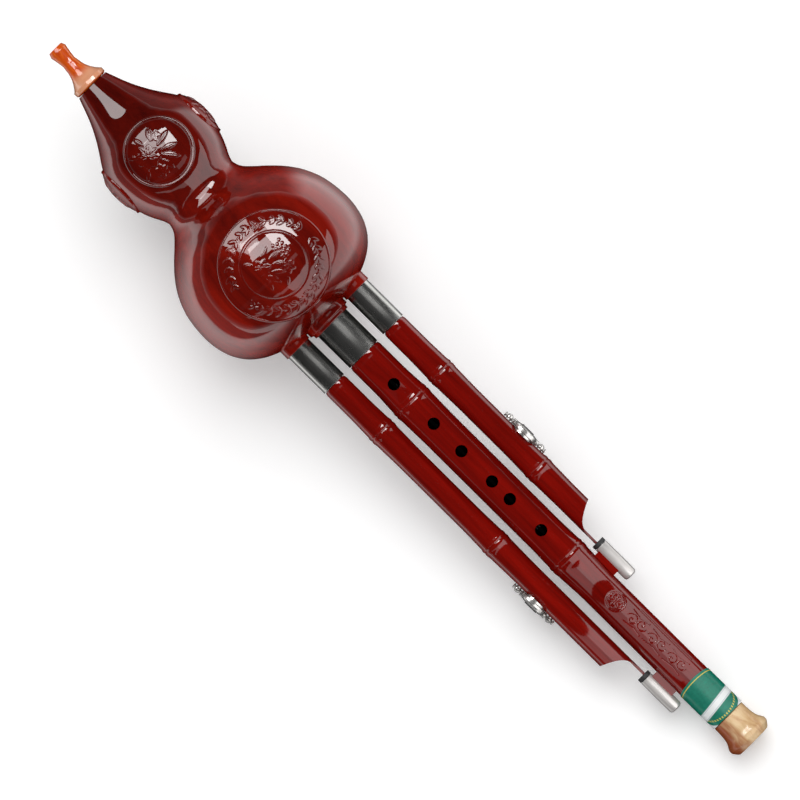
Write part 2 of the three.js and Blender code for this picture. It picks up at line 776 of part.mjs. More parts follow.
// A cup with a rounded closed end, its rubber mouth, and the bracket that carries it on the pipe.
function cupAssembly(prefix, sizes) {
  const place = cupPlace(sizes);
  const { side, cupStart } = place;
  const across = side * cup.fromMelodyAxis;
  const cupEnd = cupStart + cup.length;
  const inner = cup.radius - cup.wall;
  const innerEnd = cupEnd - cup.endRound;
  const cupSolid = turned(
    [
      [innerEnd, 0],
      [innerEnd, inner],
      [cupStart, inner],
      [cupStart, cup.radius],
      ...roundedCorner(innerEnd, cup.radius, cup.endRound, CUP_END_STEPS),
      [cupEnd, 0],
    ],
    SMALL_SIDES,
    across,
  );
  const sleeveRadius = inner - SLIDE_GAP;
  const hole = sleeveRadius - grommet.sleeveWall;
  const grommetEnd = cupStart - SLIDE_GAP;
  const grommetSolid = turned(
    [
      [cupStart - grommet.length, hole],
      [cupStart - grommet.length, cup.radius],
      [grommetEnd, cup.radius],
      [grommetEnd, sleeveRadius],
      [cupStart + grommet.sleeveLength, sleeveRadius],
      [cupStart + grommet.sleeveLength, hole],
    ],
    SMALL_SIDES,
    across,
  );
  const pins = pinBars(place, bracketPin.radius, 0).map((pin, i) =>
    piece(`${prefix}_bracket_pin_${i + 1}`, pin, chrome),
  );
  return [
    piece(prefix + "_tail_cup", cupSolid, chrome),
    piece(prefix + "_cup_grommet", grommetSolid, blackRubber),
    piece(prefix + "_cup_bracket", cupBracket(place, across), lacquer),
    ...pins,
  ];
}

function melodyAssembly() {
  return [
    piece("main_pipe", melodyPipe(), lacquer),
    ...reedAssembly("main", melody, 0),
    piece("bell", bellSolid(), paleHorn),
    piece("label_band", labelBand(), greenPaper),
    ...cupAssembly("right", rightDrone),
    ...cupAssembly("left", leftDrone),
  ];
}

// What is left of a drone after its scoop is cut, seen from the front.
function scoopedSilhouette({ side, length }) {
  const { spacing, radius, nibThickness, nibInCup, scoopBendShares } = drone;
  const outerEdge = spacing + radius;
  const nibFace = spacing - radius + nibThickness;
  const edgeEnd = pipeStart + length;
  const scoopFoot = edgeEnd + drone.scoopLength;
  const nibEnd = scoopFoot + drone.nibShowing + nibInCup;
  const [bendAlong, bendOut] = scoopBendShares;
  const beyond = outerEdge + bambooNode.rise + OVERRUN;
  const shape = new THREE.Shape();
  shape.moveTo(pipeStart - spigotLength - OVERRUN, side * beyond);
  shape.lineTo(edgeEnd, side * beyond);
  shape.lineTo(edgeEnd, side * outerEdge);
  shape.quadraticCurveTo(
    edgeEnd + bendAlong * drone.scoopLength,
    side * (nibFace + bendOut * (outerEdge - nibFace)),
    scoopFoot,
    side * nibFace,
  );
  shape.lineTo(nibEnd, side * nibFace);
  shape.lineTo(nibEnd, side * (spacing - radius - OVERRUN));
  shape.lineTo(pipeStart - spigotLength - OVERRUN, side * (spacing - radius - OVERRUN));
  const depth = 2 * (radius + bambooNode.rise + OVERRUN);
  const options = { depth, bevelEnabled: false, curveSegments: SCOOP_STEPS };
  const geometry = new THREE.ExtrudeGeometry(shape, options);
  return solidOf(geometry.translate(0, 0, -depth / 2));
}

// The same drone seen from the side, where the nib narrows to fit the cup. It is narrow for as far
// as the tuning pull can take it into the grommet.
function taperedSilhouette({ side, length }) {
  const { spacing, radius, scoopLength, nibHalfWidth, nibShowing, nibInCup } = drone;
  const wide = radius + bambooNode.rise + OVERRUN;
  const start = pipeStart - spigotLength - OVERRUN;
  const taperStart = pipeStart + length + drone.taperStartShare * scoopLength;
  const foot = pipeStart + length + scoopLength;
  const footHalfWidth = drone.taperFootShare * radius;
  const grommetStart = foot + nibShowing;
  const narrow = grommetStart - drone.tuningPull - GLUE_GAP;
  const shape = new THREE.Shape();
  shape.moveTo(start, wide);
  shape.lineTo(taperStart, wide);
  shape.lineTo(foot, footHalfWidth);
  shape.lineTo(narrow, nibHalfWidth);
  shape.lineTo(grommetStart + nibInCup, nibHalfWidth);
  shape.lineTo(grommetStart + nibInCup, -nibHalfWidth);
  shape.lineTo(narrow, -nibHalfWidth);
  shape.lineTo(foot, -footHalfWidth);
  shape.lineTo(taperStart, -wide);
  shape.lineTo(start, -wide);
  const depth = 2 * wide;
  const geometry = new THREE.ExtrudeGeometry(shape, { depth, bevelEnabled: false });
  geometry.rotateX(Math.PI / 2);
  return solidOf(geometry.translate(0, side * spacing + depth / 2, 0));
}

// A drone's outline with its two bamboo nodes, a clearance outside its surface.
function droneOutline(sizes, clearance) {
  const reach = drone.radius + clearance;
  const end = scoopEnd(sizes) + drone.nibShowing + drone.nibInCup + OVERRUN;
  const nodes = sizes.nodeShares.map((share) => pipeStart + share * sizes.length);
  const swellings = nodes.flatMap((node) => nodeOutline(node, reach, reach));
  return [[pipeStart, reach], ...swellings, [end, reach]];
}

function dronePipe(sizes) {
  const { radius, boreRadius, ferruleRadius, spacing } = drone;
  const { side, length } = sizes;
  const across = side * spacing;
  const spigotRadius = ferruleRadius - ferruleWall - GLUE_GAP;
  const spigotStart = pipeStart - spigotLength;
  const boreEnd = pipeStart + length - drone.boreEndWall;
  const outline = droneOutline(sizes, 0);
  const [end] = outline[outline.length - 1];
  const outside = turned(
    [[spigotStart, 0], [spigotStart, spigotRadius], [pipeStart, spigotRadius], ...outline, [end, 0]],
    PIPE_SIDES,
    across,
  );
  let pipe = outside
    .intersect(scoopedSilhouette(sizes))
    .intersect(taperedSilhouette(sizes))
    .subtract(rod(spigotStart - OVERRUN, boreEnd, boreRadius, PIPE_SIDES, across));
  const keyStation = pipeStart + sizes.keyShare * length;
  const centre = new THREE.Vector3(keyStation, across, 0);
  const outward = side > 0 ? AXES.right : AXES.left;
  pipe = pipe.subtract(bar(centre, outward, 0, radius + OVERRUN, key.holeRadius, SMALL_SIDES));
  for (const { foot, direction } of keyPosts(sizes)) {
    const deepest = radius - key.stemDepth - SLIDE_GAP;
    const hole = bar(foot, direction, deepest, radius + OVERRUN, key.stemRadius + SLIDE_GAP, SMALL_SIDES);
    pipe = pipe.subtract(hole);
  }
  return pipe;
}

// The direction in which a key's posts stand, behind the pipe's outermost line.
function postDirection(side) {
  return new THREE.Vector3(0, side * Math.cos(key.rodAngle), -Math.sin(key.rodAngle));
}

function keyPosts({ side, length, keyShare }) {
  const middle = pipeStart + keyShare * length;
  return [-1, 1].map((end) => ({
    foot: new THREE.Vector3(middle + (end * key.postSpacing) / 2, side * drone.spacing, 0),
    direction: postDirection(side),
  }));
}

// Where a key's rod runs: its distances across and up from the part's axis.
function rodPlace(side) {
  const direction = postDirection(side).multiplyScalar(key.rodFromPipeAxis);
  return { across: side * drone.spacing + direction.y, up: direction.z };
}

// The space that a drone and a clearance round it take up.
function droneRoom(sizes, clearance) {
  const outline = droneOutline(sizes, clearance);
  const [end] = outline[outline.length - 1];
  return turned([[pipeStart, 0], ...outline, [end, 0]], PIPE_SIDES, sizes.side * drone.spacing);
}

function postSolid({ foot, direction }, sizes) {
  const { stemRadius, stemDepth, footRadius, footThickness, ballRadius, rodRadius } = key;
  const surface = drone.radius;
  const stem = bar(foot, direction, surface - stemDepth, key.rodFromPipeAxis, stemRadius, SMALL_SIDES);
  const footTop = surface + bambooNode.rise + footThickness;
  const collar = bar(foot, direction, surface - OVERRUN, footTop, footRadius, SMALL_SIDES)
    .subtract(droneRoom(sizes, SLIDE_GAP));
  const { across, up } = rodPlace(sizes.side);
  const ball = new THREE.SphereGeometry(ballRadius, SMALL_SIDES, SMALL_SIDES / 2);
  ball.translate(foot.x, across, up);
  const reach = ballRadius + OVERRUN;
  const hole = rod(foot.x - reach, foot.x + reach, rodRadius + SLIDE_GAP, SMALL_SIDES, across, up);
  return stem.add(collar).add(solidOf(ball)).subtract(hole);
}

// The rod that the lid turns on, with a head outside each ball.
function keyRod(middle, side) {
  const { across, up } = rodPlace(side);
  const ballFace = middle + key.postSpacing / 2 + key.ballRadius + SLIDE_GAP;
  const headEnd = ballFace + key.rodHeadLength;
  const low = 2 * middle - ballFace;
  const lowEnd = 2 * middle - headEnd;
  return turned(
    [
      [lowEnd, 0],
      [lowEnd, key.rodHeadRadius],
      [low, key.rodHeadRadius],
      [low, key.rodRadius],
      [ballFace, key.rodRadius],
      [ballFace, key.rodHeadRadius],
      [headEnd, key.rodHeadRadius],
      [headEnd, 0],
    ],
    SMALL_SIDES,
    across,
    up,
  );
}

// The raised seat round a drone's sound hole, saddled to the pipe.
function toneHoleSeat(centre, outward, sizes) {
  const { seatRadius, seatWall, seatRise } = key;
  const top = drone.radius + seatRise;
  const ring = bar(centre, outward, 0, top, seatRadius, PIPE_SIDES);
  const bore = bar(centre, outward, -OVERRUN, top + OVERRUN, seatRadius - seatWall, PIPE_SIDES);
  return ring.subtract(bore).subtract(droneRoom(sizes, SLIDE_GAP));
}

function keyLid(centre, outward, side) {
  const { lidRadius, lidRise, lidSkirt, lidWall, lidTop, lidChamfer } = key;
  const top = drone.radius + lidRise;
  const skirt = top - lidSkirt;
  const { across, up } = rodPlace(side);
  const disc = bar(centre, outward, skirt, top - lidChamfer, lidRadius, PIPE_SIDES);
  const crown = bar(centre, outward, top - lidTop, top, lidRadius - lidChamfer, PIPE_SIDES);
  const halfKnuckle = key.postSpacing / 2 - key.ballRadius - GLUE_GAP;
  const knuckle = rod(
    centre.x - halfKnuckle, centre.x + halfKnuckle, key.knuckleRadius, SMALL_SIDES, across, up,
  );
  const pocket = bar(centre, outward, 0, top - lidTop, lidRadius - lidWall, PIPE_SIDES);
  const inlayPocket = key.inlayThickness - key.inlayRise + SLIDE_GAP;
  const inlayHole = bar(
    centre, outward, top - inlayPocket, top + OVERRUN, key.inlayRadius + SLIDE_GAP, SMALL_SIDES,
  );
  const rodReach = halfKnuckle + OVERRUN;
  const rodHole = rod(
    centre.x - rodReach, centre.x + rodReach, key.rodRadius + SLIDE_GAP, SMALL_SIDES, across, up,
  );
  return disc.add(crown).subtract(pocket).subtract(inlayHole).add(knuckle).subtract(rodHole);
}

function keyAssembly(prefix, sizes) {
  const { side, length, keyShare } = sizes;
  const centre = new THREE.Vector3(pipeStart + keyShare * length, side * drone.spacing, 0);
  const outward = side > 0 ? AXES.right : AXES.left;
  const top = drone.radius + key.lidRise;
  const padTop = top - key.lidTop - SLIDE_GAP;
  const padRadius = key.lidRadius - key.lidWall - SLIDE_GAP;
  const pad = bar(centre, outward, padTop - key.padThickness, padTop, padRadius, PIPE_SIDES);
  const inlayTop = top + key.inlayRise;
  const inlay = bar(centre, outward, inlayTop - key.inlayThickness, inlayTop, key.inlayRadius, SMALL_SIDES);
  const [upperPost, lowerPost] = keyPosts(sizes);
  return [
    piece(prefix + "_key_post_upper", postSolid(upperPost, sizes), chrome),
    piece(prefix + "_key_post_lower", postSolid(lowerPost, sizes), chrome),
    piece(prefix + "_key_rod", keyRod(centre.x, side), chrome),
    piece(prefix + "_tone_hole_seat", toneHoleSeat(centre, outward, sizes), chrome),
    piece(prefix + "_key_lid", keyLid(centre, outward, side), chrome),
    piece(prefix + "_key_pad", pad, whiteFelt),
    piece(prefix + "_key_inlay", inlay, blackRubber),
  ];
}

function droneAssembly(prefix, sizes) {
  return [
    piece(prefix + "_drone_pipe", dronePipe(sizes), lacquer),
    ...reedAssembly(prefix + "_drone", drone, sizes.side * drone.spacing),
    ...keyAssembly(prefix, sizes),
  ];
}

const hulusi = new THREE.Group();
hulusi.add(
  ...gourdShells(),
  ...gourdInside(),
  ...mouthpieceAssembly(),
  ...melodyAssembly(),
  ...droneAssembly("right", rightDrone),
  ...droneAssembly("left", leftDrone),
);

// The part lies on the flat of its gourd and the rim of its bell, over the middle of its box.
const group = new THREE.Group();
hulusi.rotation.y = restTilt;
group.add(hulusi);
const bounds = new THREE.Box3().setFromObject(group, true);
hulusi.position.set(
  -(bounds.min.x + bounds.max.x) / 2,
  -(bounds.min.y + bounds.max.y) / 2,
  -bounds.min.z,
);

export default group;
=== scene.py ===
import functools
import json
import math
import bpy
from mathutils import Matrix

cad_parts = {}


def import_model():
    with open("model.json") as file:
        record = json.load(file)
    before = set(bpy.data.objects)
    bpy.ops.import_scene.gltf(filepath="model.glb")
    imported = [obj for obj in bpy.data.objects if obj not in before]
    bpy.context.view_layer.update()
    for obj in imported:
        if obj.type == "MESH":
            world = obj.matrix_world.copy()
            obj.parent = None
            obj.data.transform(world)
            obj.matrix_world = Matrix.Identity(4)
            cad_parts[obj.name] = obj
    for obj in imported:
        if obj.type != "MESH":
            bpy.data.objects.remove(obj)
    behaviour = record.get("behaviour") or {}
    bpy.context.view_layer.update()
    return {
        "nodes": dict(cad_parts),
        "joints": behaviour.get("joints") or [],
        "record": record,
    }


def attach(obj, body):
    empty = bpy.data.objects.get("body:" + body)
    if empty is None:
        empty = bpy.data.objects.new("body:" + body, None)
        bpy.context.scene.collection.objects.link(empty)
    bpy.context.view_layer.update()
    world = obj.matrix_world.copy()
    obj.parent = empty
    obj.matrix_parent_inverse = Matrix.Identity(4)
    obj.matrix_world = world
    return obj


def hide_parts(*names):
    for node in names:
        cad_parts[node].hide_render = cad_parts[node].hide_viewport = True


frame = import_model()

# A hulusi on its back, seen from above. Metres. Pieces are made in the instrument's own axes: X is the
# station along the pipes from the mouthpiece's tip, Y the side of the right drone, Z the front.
from types import SimpleNamespace as Sizes

import bmesh
import bpy
import numpy as np
from mathutils import Matrix, Vector

# The photograph
PICTURE_PIXELS = 800
METRES_PER_PIXEL = 0.000448
AXIS_TURN = math.radians(44.75)  # of the pipes below the picture's horizontal
CAMERA_DISTANCE = 8.0
PICTURE_MIDDLE = (0.2206, -0.0031, 0.0)
SENSOR = 0.036

# All pieces
SIDES = {"right": 1, "left": -1}
FRONT_ANGLE = math.pi / 2
SHARP = math.radians(38)  # an edge that turns more is drawn sharp
SMOOTH_CORNER, ROUNDED_CORNER = math.radians(32), math.radians(25)
OVERRUN = 0.002  # how far a cutter runs past what it cuts
TINY = 1e-5

# Gourd
GOURD_SIDES, SOCKET_SIDES = 160, 64
GOURD_SHELLS = ("gourd_front_shell", "gourd_back_shell")
SEAM_ANGLE = math.radians(45)  # a line of the gourd that no medallion touches
SMALL_BULB, BIG_BULB, BASE_POINT = 0.066, 0.1385, 0.171
WALL = 0.003
GOURD_ROUND, BOSS_ROUND = 0.0008, 0.0006
NECK_BORE_LENGTH = 0.019
SLEEVE_GAP, FERRULE_GAP = 0.0003, 0.0002
SOCKET_CUT = (0.15, 0.18)
BOSS_START = BASE_POINT - 0.006
BOSS_STEPS = ((0.1729, 0.0113), (0.1747, 0.010))  # where each step ends, and its radius
COLLAR = Sizes(start=BOSS_START - 0.002, end=0.1721, radius=0.0069, across=0.0187)

# Medallions
SMALL_MEDALLION = Sizes(radius=0.0163, foot=0.0005, bulge=0.0007)
BIG_MEDALLION = Sizes(radius=0.0256, foot=0.0004)
SIDE_MEDALLION_SHARE = 0.77  # of the front one
RIM_RING = Sizes(inset=0.0006, half=0.0005, rise=0.0004)
INNER_GROOVE = Sizes(inset=0.0015, half=0.0004, depth=0.0002)
DOME = Sizes(radius=0.0153, foot=0.0004, rise=0.0016, groove=0.0006, depth=0.0003)
MEDALLION_EDGE, MEDALLION_SKIRT = 0.0003, 0.0006
MEDALLION_SHARP = math.radians(70)
CARVING_STEP = 0.00025
TURN_STEP = 1.3 * CARVING_STEP
SLOPE_STEP = 0.0005

# Carved leaves are (x, y, length, half width, angle, rise), blossoms (x, y, size, petals, rise, phase).
VEIN_SHARE, VEIN_WIDTH = 0.35, 0.00016
LEAF_POINT = 0.75  # below 1 the leaf is full towards its ends
PETAL = Sizes(inner=0.62, half=0.36, rises=(0.7, 1.0), heart=0.2, heart_rise=1.15)
WREATH = Sizes(radius=0.0202, pairs=14, first=0.14, step=0.205, lengths=(0.0040, 0.0032), half=0.00078,
               rise=0.00048, leans=(0.62, -0.7), stem_rise=0.0002, stem_half=0.0003, stem_end=0.85)
BERRIES = Sizes(first=(-0.0066, -0.0058), step=(0.0021, -0.0019), stagger=0.0009, radius=0.0008, rise=0.00026)
BIG_BLOSSOMS = [(-0.0028, 0.0045, 0.0042, 6, 0.0003, 0.0), (0.0046, -0.0042, 0.0036, 6, 0.0003, 0.5)]
BIG_LEAVES = [
    (0.0012, 0.0052, 0.0068, 0.0011, -0.35, 0.00026), (0.002, 0.0066, 0.0058, 0.001, 0.25, 0.00026),
    (0.0012, 0.003, 0.0066, 0.001, -0.85, 0.00026), (-0.0064, 0.0015, 0.0056, 0.0009, -1.9, 0.00026),
    (-0.0035, -0.0002, 0.006, 0.0009, -1.45, 0.00026), (-0.0008, 0.0, 0.0058, 0.0009, -1.0, 0.00026),
    (-0.0068, 0.0068, 0.0042, 0.0009, 2.4, 0.00026), (0.008, -0.0012, 0.0042, 0.0009, 0.9, 0.00026)]
SMALL_BLOSSOMS = [(-0.0015, 0.0052, 0.0058, 8, 0.0005, 0.0), (0.0072, 0.0052, 0.0034, 6, 0.0004, 0.4),
                  (-0.0072, -0.0034, 0.0034, 6, 0.0004, 0.2)]
SMALL_LEAVES = [
    (-0.0025, -0.001, 0.0086, 0.0015, -1.75, 0.00045), (0.0, -0.001, 0.008, 0.0014, -1.2, 0.00045),
    (0.0015, 0.0, 0.0088, 0.0014, -0.7, 0.0004), (0.0035, 0.0015, 0.0068, 0.0012, -0.2, 0.0004),
    (-0.0068, 0.003, 0.0052, 0.0011, 2.9, 0.00045), (-0.0068, -0.0005, 0.0048, 0.001, -2.6, 0.00045),
    (-0.0045, 0.0085, 0.005, 0.001, 2.2, 0.0004), (0.003, 0.0092, 0.005, 0.001, 0.9, 0.0004)]

# Pipes
PIPE_SIDES, HOLE_SIDES = 96, 48
PIPE_STEP, NODE_STEP, BORE_STEP = 0.0015, 0.00025, 0.003
PIPE_GAP = 0.0003  # between a ferrule and the start of its pipe's full width
PIPE_EDGE = Sizes(drop=0.0004, length=0.0006)
NODE_RISE = 0.0003
NODE_SWELL_ABOVE, NODE_SWELL_BELOW = 0.015, 0.020
NODE_ZONE = (-0.004, 0.005)
NODE_BUMPS = (  # rise, offset and width of a node's groove, bead and ring
    (-0.00018, 0.0, 0.00032), (0.0003, -0.0012, 0.0009), (0.0003, 0.0011, 0.0015))
MAIN_NODE_SHARES = (0.131, 0.56)
DRONE_NODE_SHARES = {"right": (0.257, 0.781), "left": (0.173, 0.5845)}
CLEAR_ANGLE = FRONT_ANGLE - math.radians(54)  # a line of the melody pipe that no hole touches
FINGER_HOLE_RADIUS = 0.0028
FINGER_HOLE_SHARES = (0.082, 0.1915, 0.2675, 0.3515, 0.4005, 0.4865)
THUMB_HOLE_SHARE = 0.044
HOLE_REACH = 0.014
HOLE_ZONE_ENDS = (0.004, 0.03)
HOLE_RIM = Sizes(radius=0.0083, angle=math.radians(50), bevel=0.0003)
BORE_SHADOW = 0.0082
SCOOP_LENGTH, SCOOP_STEP, SCOOP_STEPS, SCOOP_SAG = 0.0084, 0.0004, 14, 0.04
NIB_THICKNESS, NIB_HALF_WIDTH = 0.0013, 0.0015
NIB_SHOWING, NIB_IN_CUP, NIB_STRAIGHT = 0.008, 0.0036, 0.0043
KEY_HOLE_RADIUS, KEY_HOLE_REACH = 0.003, 0.012

# Carving of the melody pipe's tail: stations, and distances round the pipe from its front line
CARVED = (0.3445, 0.3995)
CARVED_HALF = 0.0075
CARVED_DEEP = 0.0005
CARVED_STEP, CARVED_CUTS = 0.001, 3
TAIL_RADIUS = 0.0086
ENGRAVED_DEPTH, ENGRAVED_WIDTH = 0.00018, 0.0002
CARVING_MIDDLE = 0.001
ROSETTE = Sizes(station=0.3525, rings=(0.0046, 0.0039), petals=6, petal=0.0016, offset=0.0019)
SCROLL_STATIONS = (0.3655, 0.378, 0.3905)
SCROLL_TURNS, SCROLL_EYE = 1.4, 0.12
SCROLLS = ((-0.0022, -0.0008, 0.0031, 0.4), (0.0028, 0.0006, 0.0029, 3.6))  # x, y, size, phase
SPRIGS = (((-0.005, 0.0032), (0, 0.0024), (0.0052, 0.0034)),
          ((-0.005, -0.0038), (0.001, -0.0030), (0.0052, -0.0038)))
BORDER = Sizes(stations=(0.3635, 0.395), offsets=(0.0056, 0.0065))

# Keys. Heights are distances from the drone's axis.
LID = Sizes(skirt=0.0025, plate=0.00095, wall=0.0007)
LID_DOME = ((0.0013, 1.0), (0.0006, 0.93), (0.0002, 0.78), (0.0, 0.6))  # drop, share of the radius
KNUCKLE = Sizes(half=0.0077, bore=0.0009, radius=0.0015)
INLAY = Sizes(half=0.0004, radius=0.0035, round=0.0003)
POST_STEM = ((0.0052, 0.0), (0.0052, 0.0015), (0.0071, 0.0015), (0.0073, 0.0008))
POST_ROUND = 0.00025
BALL_RADIUS, BALL_STEPS = 0.0017, 17
ROD = Sizes(head=0.0008, head_radius=0.0011, radius=0.0007)
SEAT = Sizes(bottom=0.0052, top=0.00665, bore=0.0034, radius=0.005)
KEY_ROUND = 0.0002
BRACKET_BEVEL = 0.00025

# Label
LABEL_SIDES, LABEL_STEPS = 120, 40
LABEL_BOW, LABEL_WALL = 0.0022, 0.0002
LABEL_LINE = Sizes(inset=0.0013, half=0.0002)
LABEL_OVAL = Sizes(station=0.4128, long=0.0127, wide=0.0165, dots=0.82, dot_half=0.035, count=42.0)
LABEL_BAND = Sizes(station=0.4169, half=0.0019, slant=0.112, fade=0.0002)
LABEL_RIM = Sizes(inset=0.0005, half=0.0001)

# What polished surfaces see of the floor, a glow that paints its reflection: painted shadow near the
# instrument, painted shade in one wedge and far out on the left
FLOOR_HALF = 3.0
GLOW = Sizes(apex=-0.1, near=(0.03, 0.17), near_right=(0.055, 0.12), past_ends=(0.23, 0.35),
             dark=math.radians(157), wedge=(0.88, 0.66), left=(-0.19, -0.24), left_end=(0.26, 0.22),
             least=0.12, strength=2.1)
SKY_LEVELS = ((0.0, 0.8), (0.04, 0.3), (0.12, 0.03), (1.0, 0.025))  # height, brightness

JOINTS = {joint["name"]: joint for joint in frame["joints"]}
ALONG = Vector(JOINTS["main_pipe_tuning"]["axis"]).normalized()
ACROSS = Vector((0, 1, 0))
FRONT = ALONG.cross(ACROSS)
AXES = np.array((ALONG, ACROSS, FRONT))


def rest_points(node):
    """A node's vertices at rest, turned into the instrument's own axes."""
    return np.array([vertex.co for vertex in frame["nodes"][node].data.vertices]) @ AXES.T


def middle(points):
    return (points.min(axis=0) + points.max(axis=0)) / 2


ORIGIN = middle(rest_points("main_ferrule"))
ORIGIN[0] = rest_points("mouthpiece")[:, 0].min()
PLACE = Matrix.Translation(Vector(ORIGIN @ AXES)) @ Matrix(AXES.T).to_4x4()


@functools.cache
def span(node):
    """The low and high corners of a node's box in the instrument's own axes."""
    points = rest_points(node) - ORIGIN
    return points.min(axis=0), points.max(axis=0)


def centre(node):
    return middle(np.array(span(node)))


# Outlines


def outline_of(node, angle, across=0.0):
    """The outline of a turned node, where it is cut at one angle about its axis."""
    work = bmesh.new()
    work.from_mesh(frame["nodes"][node].data)
    bmesh.ops.remove_doubles(work, verts=work.verts, dist=TINY / 10)
    places = {}
    for vertex in work.verts:
        station, offset, height = AXES @ vertex.co - ORIGIN
        radius = math.hypot(offset - across, height)
        turn = math.atan2(height, offset - across) - angle
        if radius < TINY or abs(math.sin(turn)) * radius < TINY and math.cos(turn) > 0:
            places[vertex] = (station, radius)
    beside = {vertex: [other for edge in vertex.link_edges if (other := edge.other_vert(vertex)) in places]
              for vertex in places}
    path = [min(places, key=lambda vertex: (len(beside[vertex]) > 1, places[vertex]))]
    while onward := [vertex for vertex in beside[path[-1]] if vertex not in path]:
        path.append(min(onward, key=places.get))
    line = np.array([places[vertex] for vertex in path])
    work.free()
    return line


def curve_through(points, steps, closed=False):
    """A smooth line through the points, which keeps their sharper corners."""
    points = np.asarray(points, float)
    count = len(points)
    last = count if closed else count - 1
    lengths = [np.linalg.norm(points[(i + 1) % count] - points[i]) for i in range(count)]
    tangents = []
    for i in range(count):
        before, after = points[i] - points[i - 1], points[(i + 1) % count] - points[i]
        turn = math.acos(np.clip(before @ after / (lengths[i - 1] * lengths[i] + 1e-18), -1, 1))
        sharp = turn > SMOOTH_CORNER or not closed and i in (0, count - 1)
        tangents.append(None if sharp else (before + after) / (lengths[i - 1] + lengths[i]))
    made = []
    for i in range(last):
        start, end = points[i], points[(i + 1) % count]
        straight = (end - start) / lengths[i]
        leave, arrive = tangents[i], tangents[(i + 1) % count]
        leave = (straight if leave is None else leave) * lengths[i]
        arrive = (straight if arrive is None else arrive) * lengths[i]
        for step in range(steps):
            t = step / steps
            made.append((2 * t**3 - 3 * t**2 + 1) * start + (t**3 - 2 * t**2 + t) * leave
                        + (3 * t**2 - 2 * t**3) * end + (t**3 - t**2) * arrive)
    if not closed:
        made.append(points[-1])
    return np.array(made)


def bend(start, corner, end, steps):
    """A curve that leaves its start and reaches its end in the direction of a corner."""
    shares = np.linspace(0, 1, steps + 1)
    return [(1 - t) ** 2 * start + 2 * t * (1 - t) * corner + t**2 * end for t in shares]


def rounded(points, size, closed=True):
    """The same line with a small round at each corner."""
    points = np.array(points, float)
    count = len(points)
    made = []
    for i, here in enumerate(points):
        before, after = points[i - 1] - here, points[(i + 1) % count] - here
        lengths = np.linalg.norm(before), np.linalg.norm(after)
        at_end = not closed and i in (0, count - 1)
        if at_end or min(lengths) < TINY or here[1] < TINY:
            made.append(here)
            continue
        turn = math.pi - math.acos(np.clip(before @ after / (lengths[0] * lengths[1]), -1, 1))
        if turn < ROUNDED_CORNER:
            made.append(here)
            continue
        reach = min(size, 0.45 * lengths[0], 0.45 * lengths[1])
        made += bend(here + before / lengths[0] * reach, here, here + after / lengths[1] * reach, 3)
    return np.array(made)


def block(start, end, inner, outer):
    """The outline of a ring, or of a rod where its inner radius is zero."""
    return [(start, inner), (start, outer), (end, outer), (end, inner)]


# Meshes


def lathe(outline, sides=PIPE_SIDES, closed=True):
    """Vertices and faces of an outline turned about the X axis. Points on the axis become poles."""
    angles = np.arange(sides) * 2 * math.pi / sides
    vertices, rings = [], []
    for station, radius in outline:
        if radius < TINY:
            rings.append([len(vertices)] * sides)
            vertices.append((station, 0.0, 0.0))
        else:
            rings.append(range(len(vertices), len(vertices) + sides))
            vertices.extend(zip([station] * sides, radius * np.cos(angles), radius * np.sin(angles)))
    faces = []
    pairs = list(zip(rings, rings[1:] + rings[:1]))
    if not closed:
        pairs.pop()
    for low, high in pairs:
        for i in range(sides):
            j = (i + 1) % sides
            corners = list(dict.fromkeys((low[i], low[j], high[j], high[i])))
            if len(corners) > 2:
                faces.append(corners)
    return np.array(vertices), faces


def turned(outline, size, sides, closed=False):
    """A lathed shape with its corners rounded."""
    return lathe(rounded(outline, size, closed), sides, closed)


def moved(shape, offset, direction=(1, 0, 0)):
    """A shape with its X axis turned to a direction, and then shifted."""
    vertices, faces = shape
    turn = np.array(Vector((1, 0, 0)).rotation_difference(Vector(direction)).to_matrix())
    return vertices @ turn.T + np.array(offset), faces


def joined(*shapes):
    vertices, faces, start = [], [], 0
    for points, polygons in shapes:
        vertices.append(points)
        faces += [[start + corner for corner in polygon] for polygon in polygons]
        start += len(points)
    return np.vstack(vertices), faces


def new_object(name, data):
    obj = bpy.data.objects.new(name, data)
    bpy.context.scene.collection.objects.link(obj)
    return obj


def mesh_object(name, shape, sharp=SHARP):
    """An object in the instrument's axes, smooth but for its sharp edges."""
    vertices, faces = shape
    mesh = bpy.data.meshes.new(name)
    mesh.from_pydata(vertices.tolist(), [], faces)
    obj = new_object(name, mesh)
    tidy_mesh(obj, sharp)
    obj.matrix_world = PLACE
    return obj


def tidy_mesh(obj, sharp=SHARP):
    """Joins vertices that meet, turns faces outward and marks the sharp edges."""
    work = bmesh.new()
    work.from_mesh(obj.data)
    bmesh.ops.remove_doubles(work, verts=work.verts, dist=TINY / 100)
    bmesh.ops.recalc_face_normals(work, faces=work.faces)
    for face in work.faces:
        face.smooth = True
    for edge in work.edges:
        edge.smooth = edge.is_manifold and edge.calc_face_angle(0) < sharp
    work.to_mesh(obj.data)
    work.free()


def cut(obj, shapes):
    """Cuts shapes out of an object and applies the result."""
    for shape in shapes:
        cutter = mesh_object("cutter", shape)
        modifier = obj.modifiers.new("cut", "BOOLEAN")
        modifier.operation = "DIFFERENCE"
        modifier.solver = "EXACT"
        modifier.object = cutter
        bpy.context.view_layer.update()
        graph = bpy.context.evaluated_depsgraph_get()
        baked = bpy.data.meshes.new_from_object(obj.evaluated_get(graph))
        obj.modifiers.clear()
        old = obj.data
        obj.data = baked
        bpy.data.meshes.remove(old)
        bpy.data.objects.remove(cutter)
    tidy_mesh(obj)


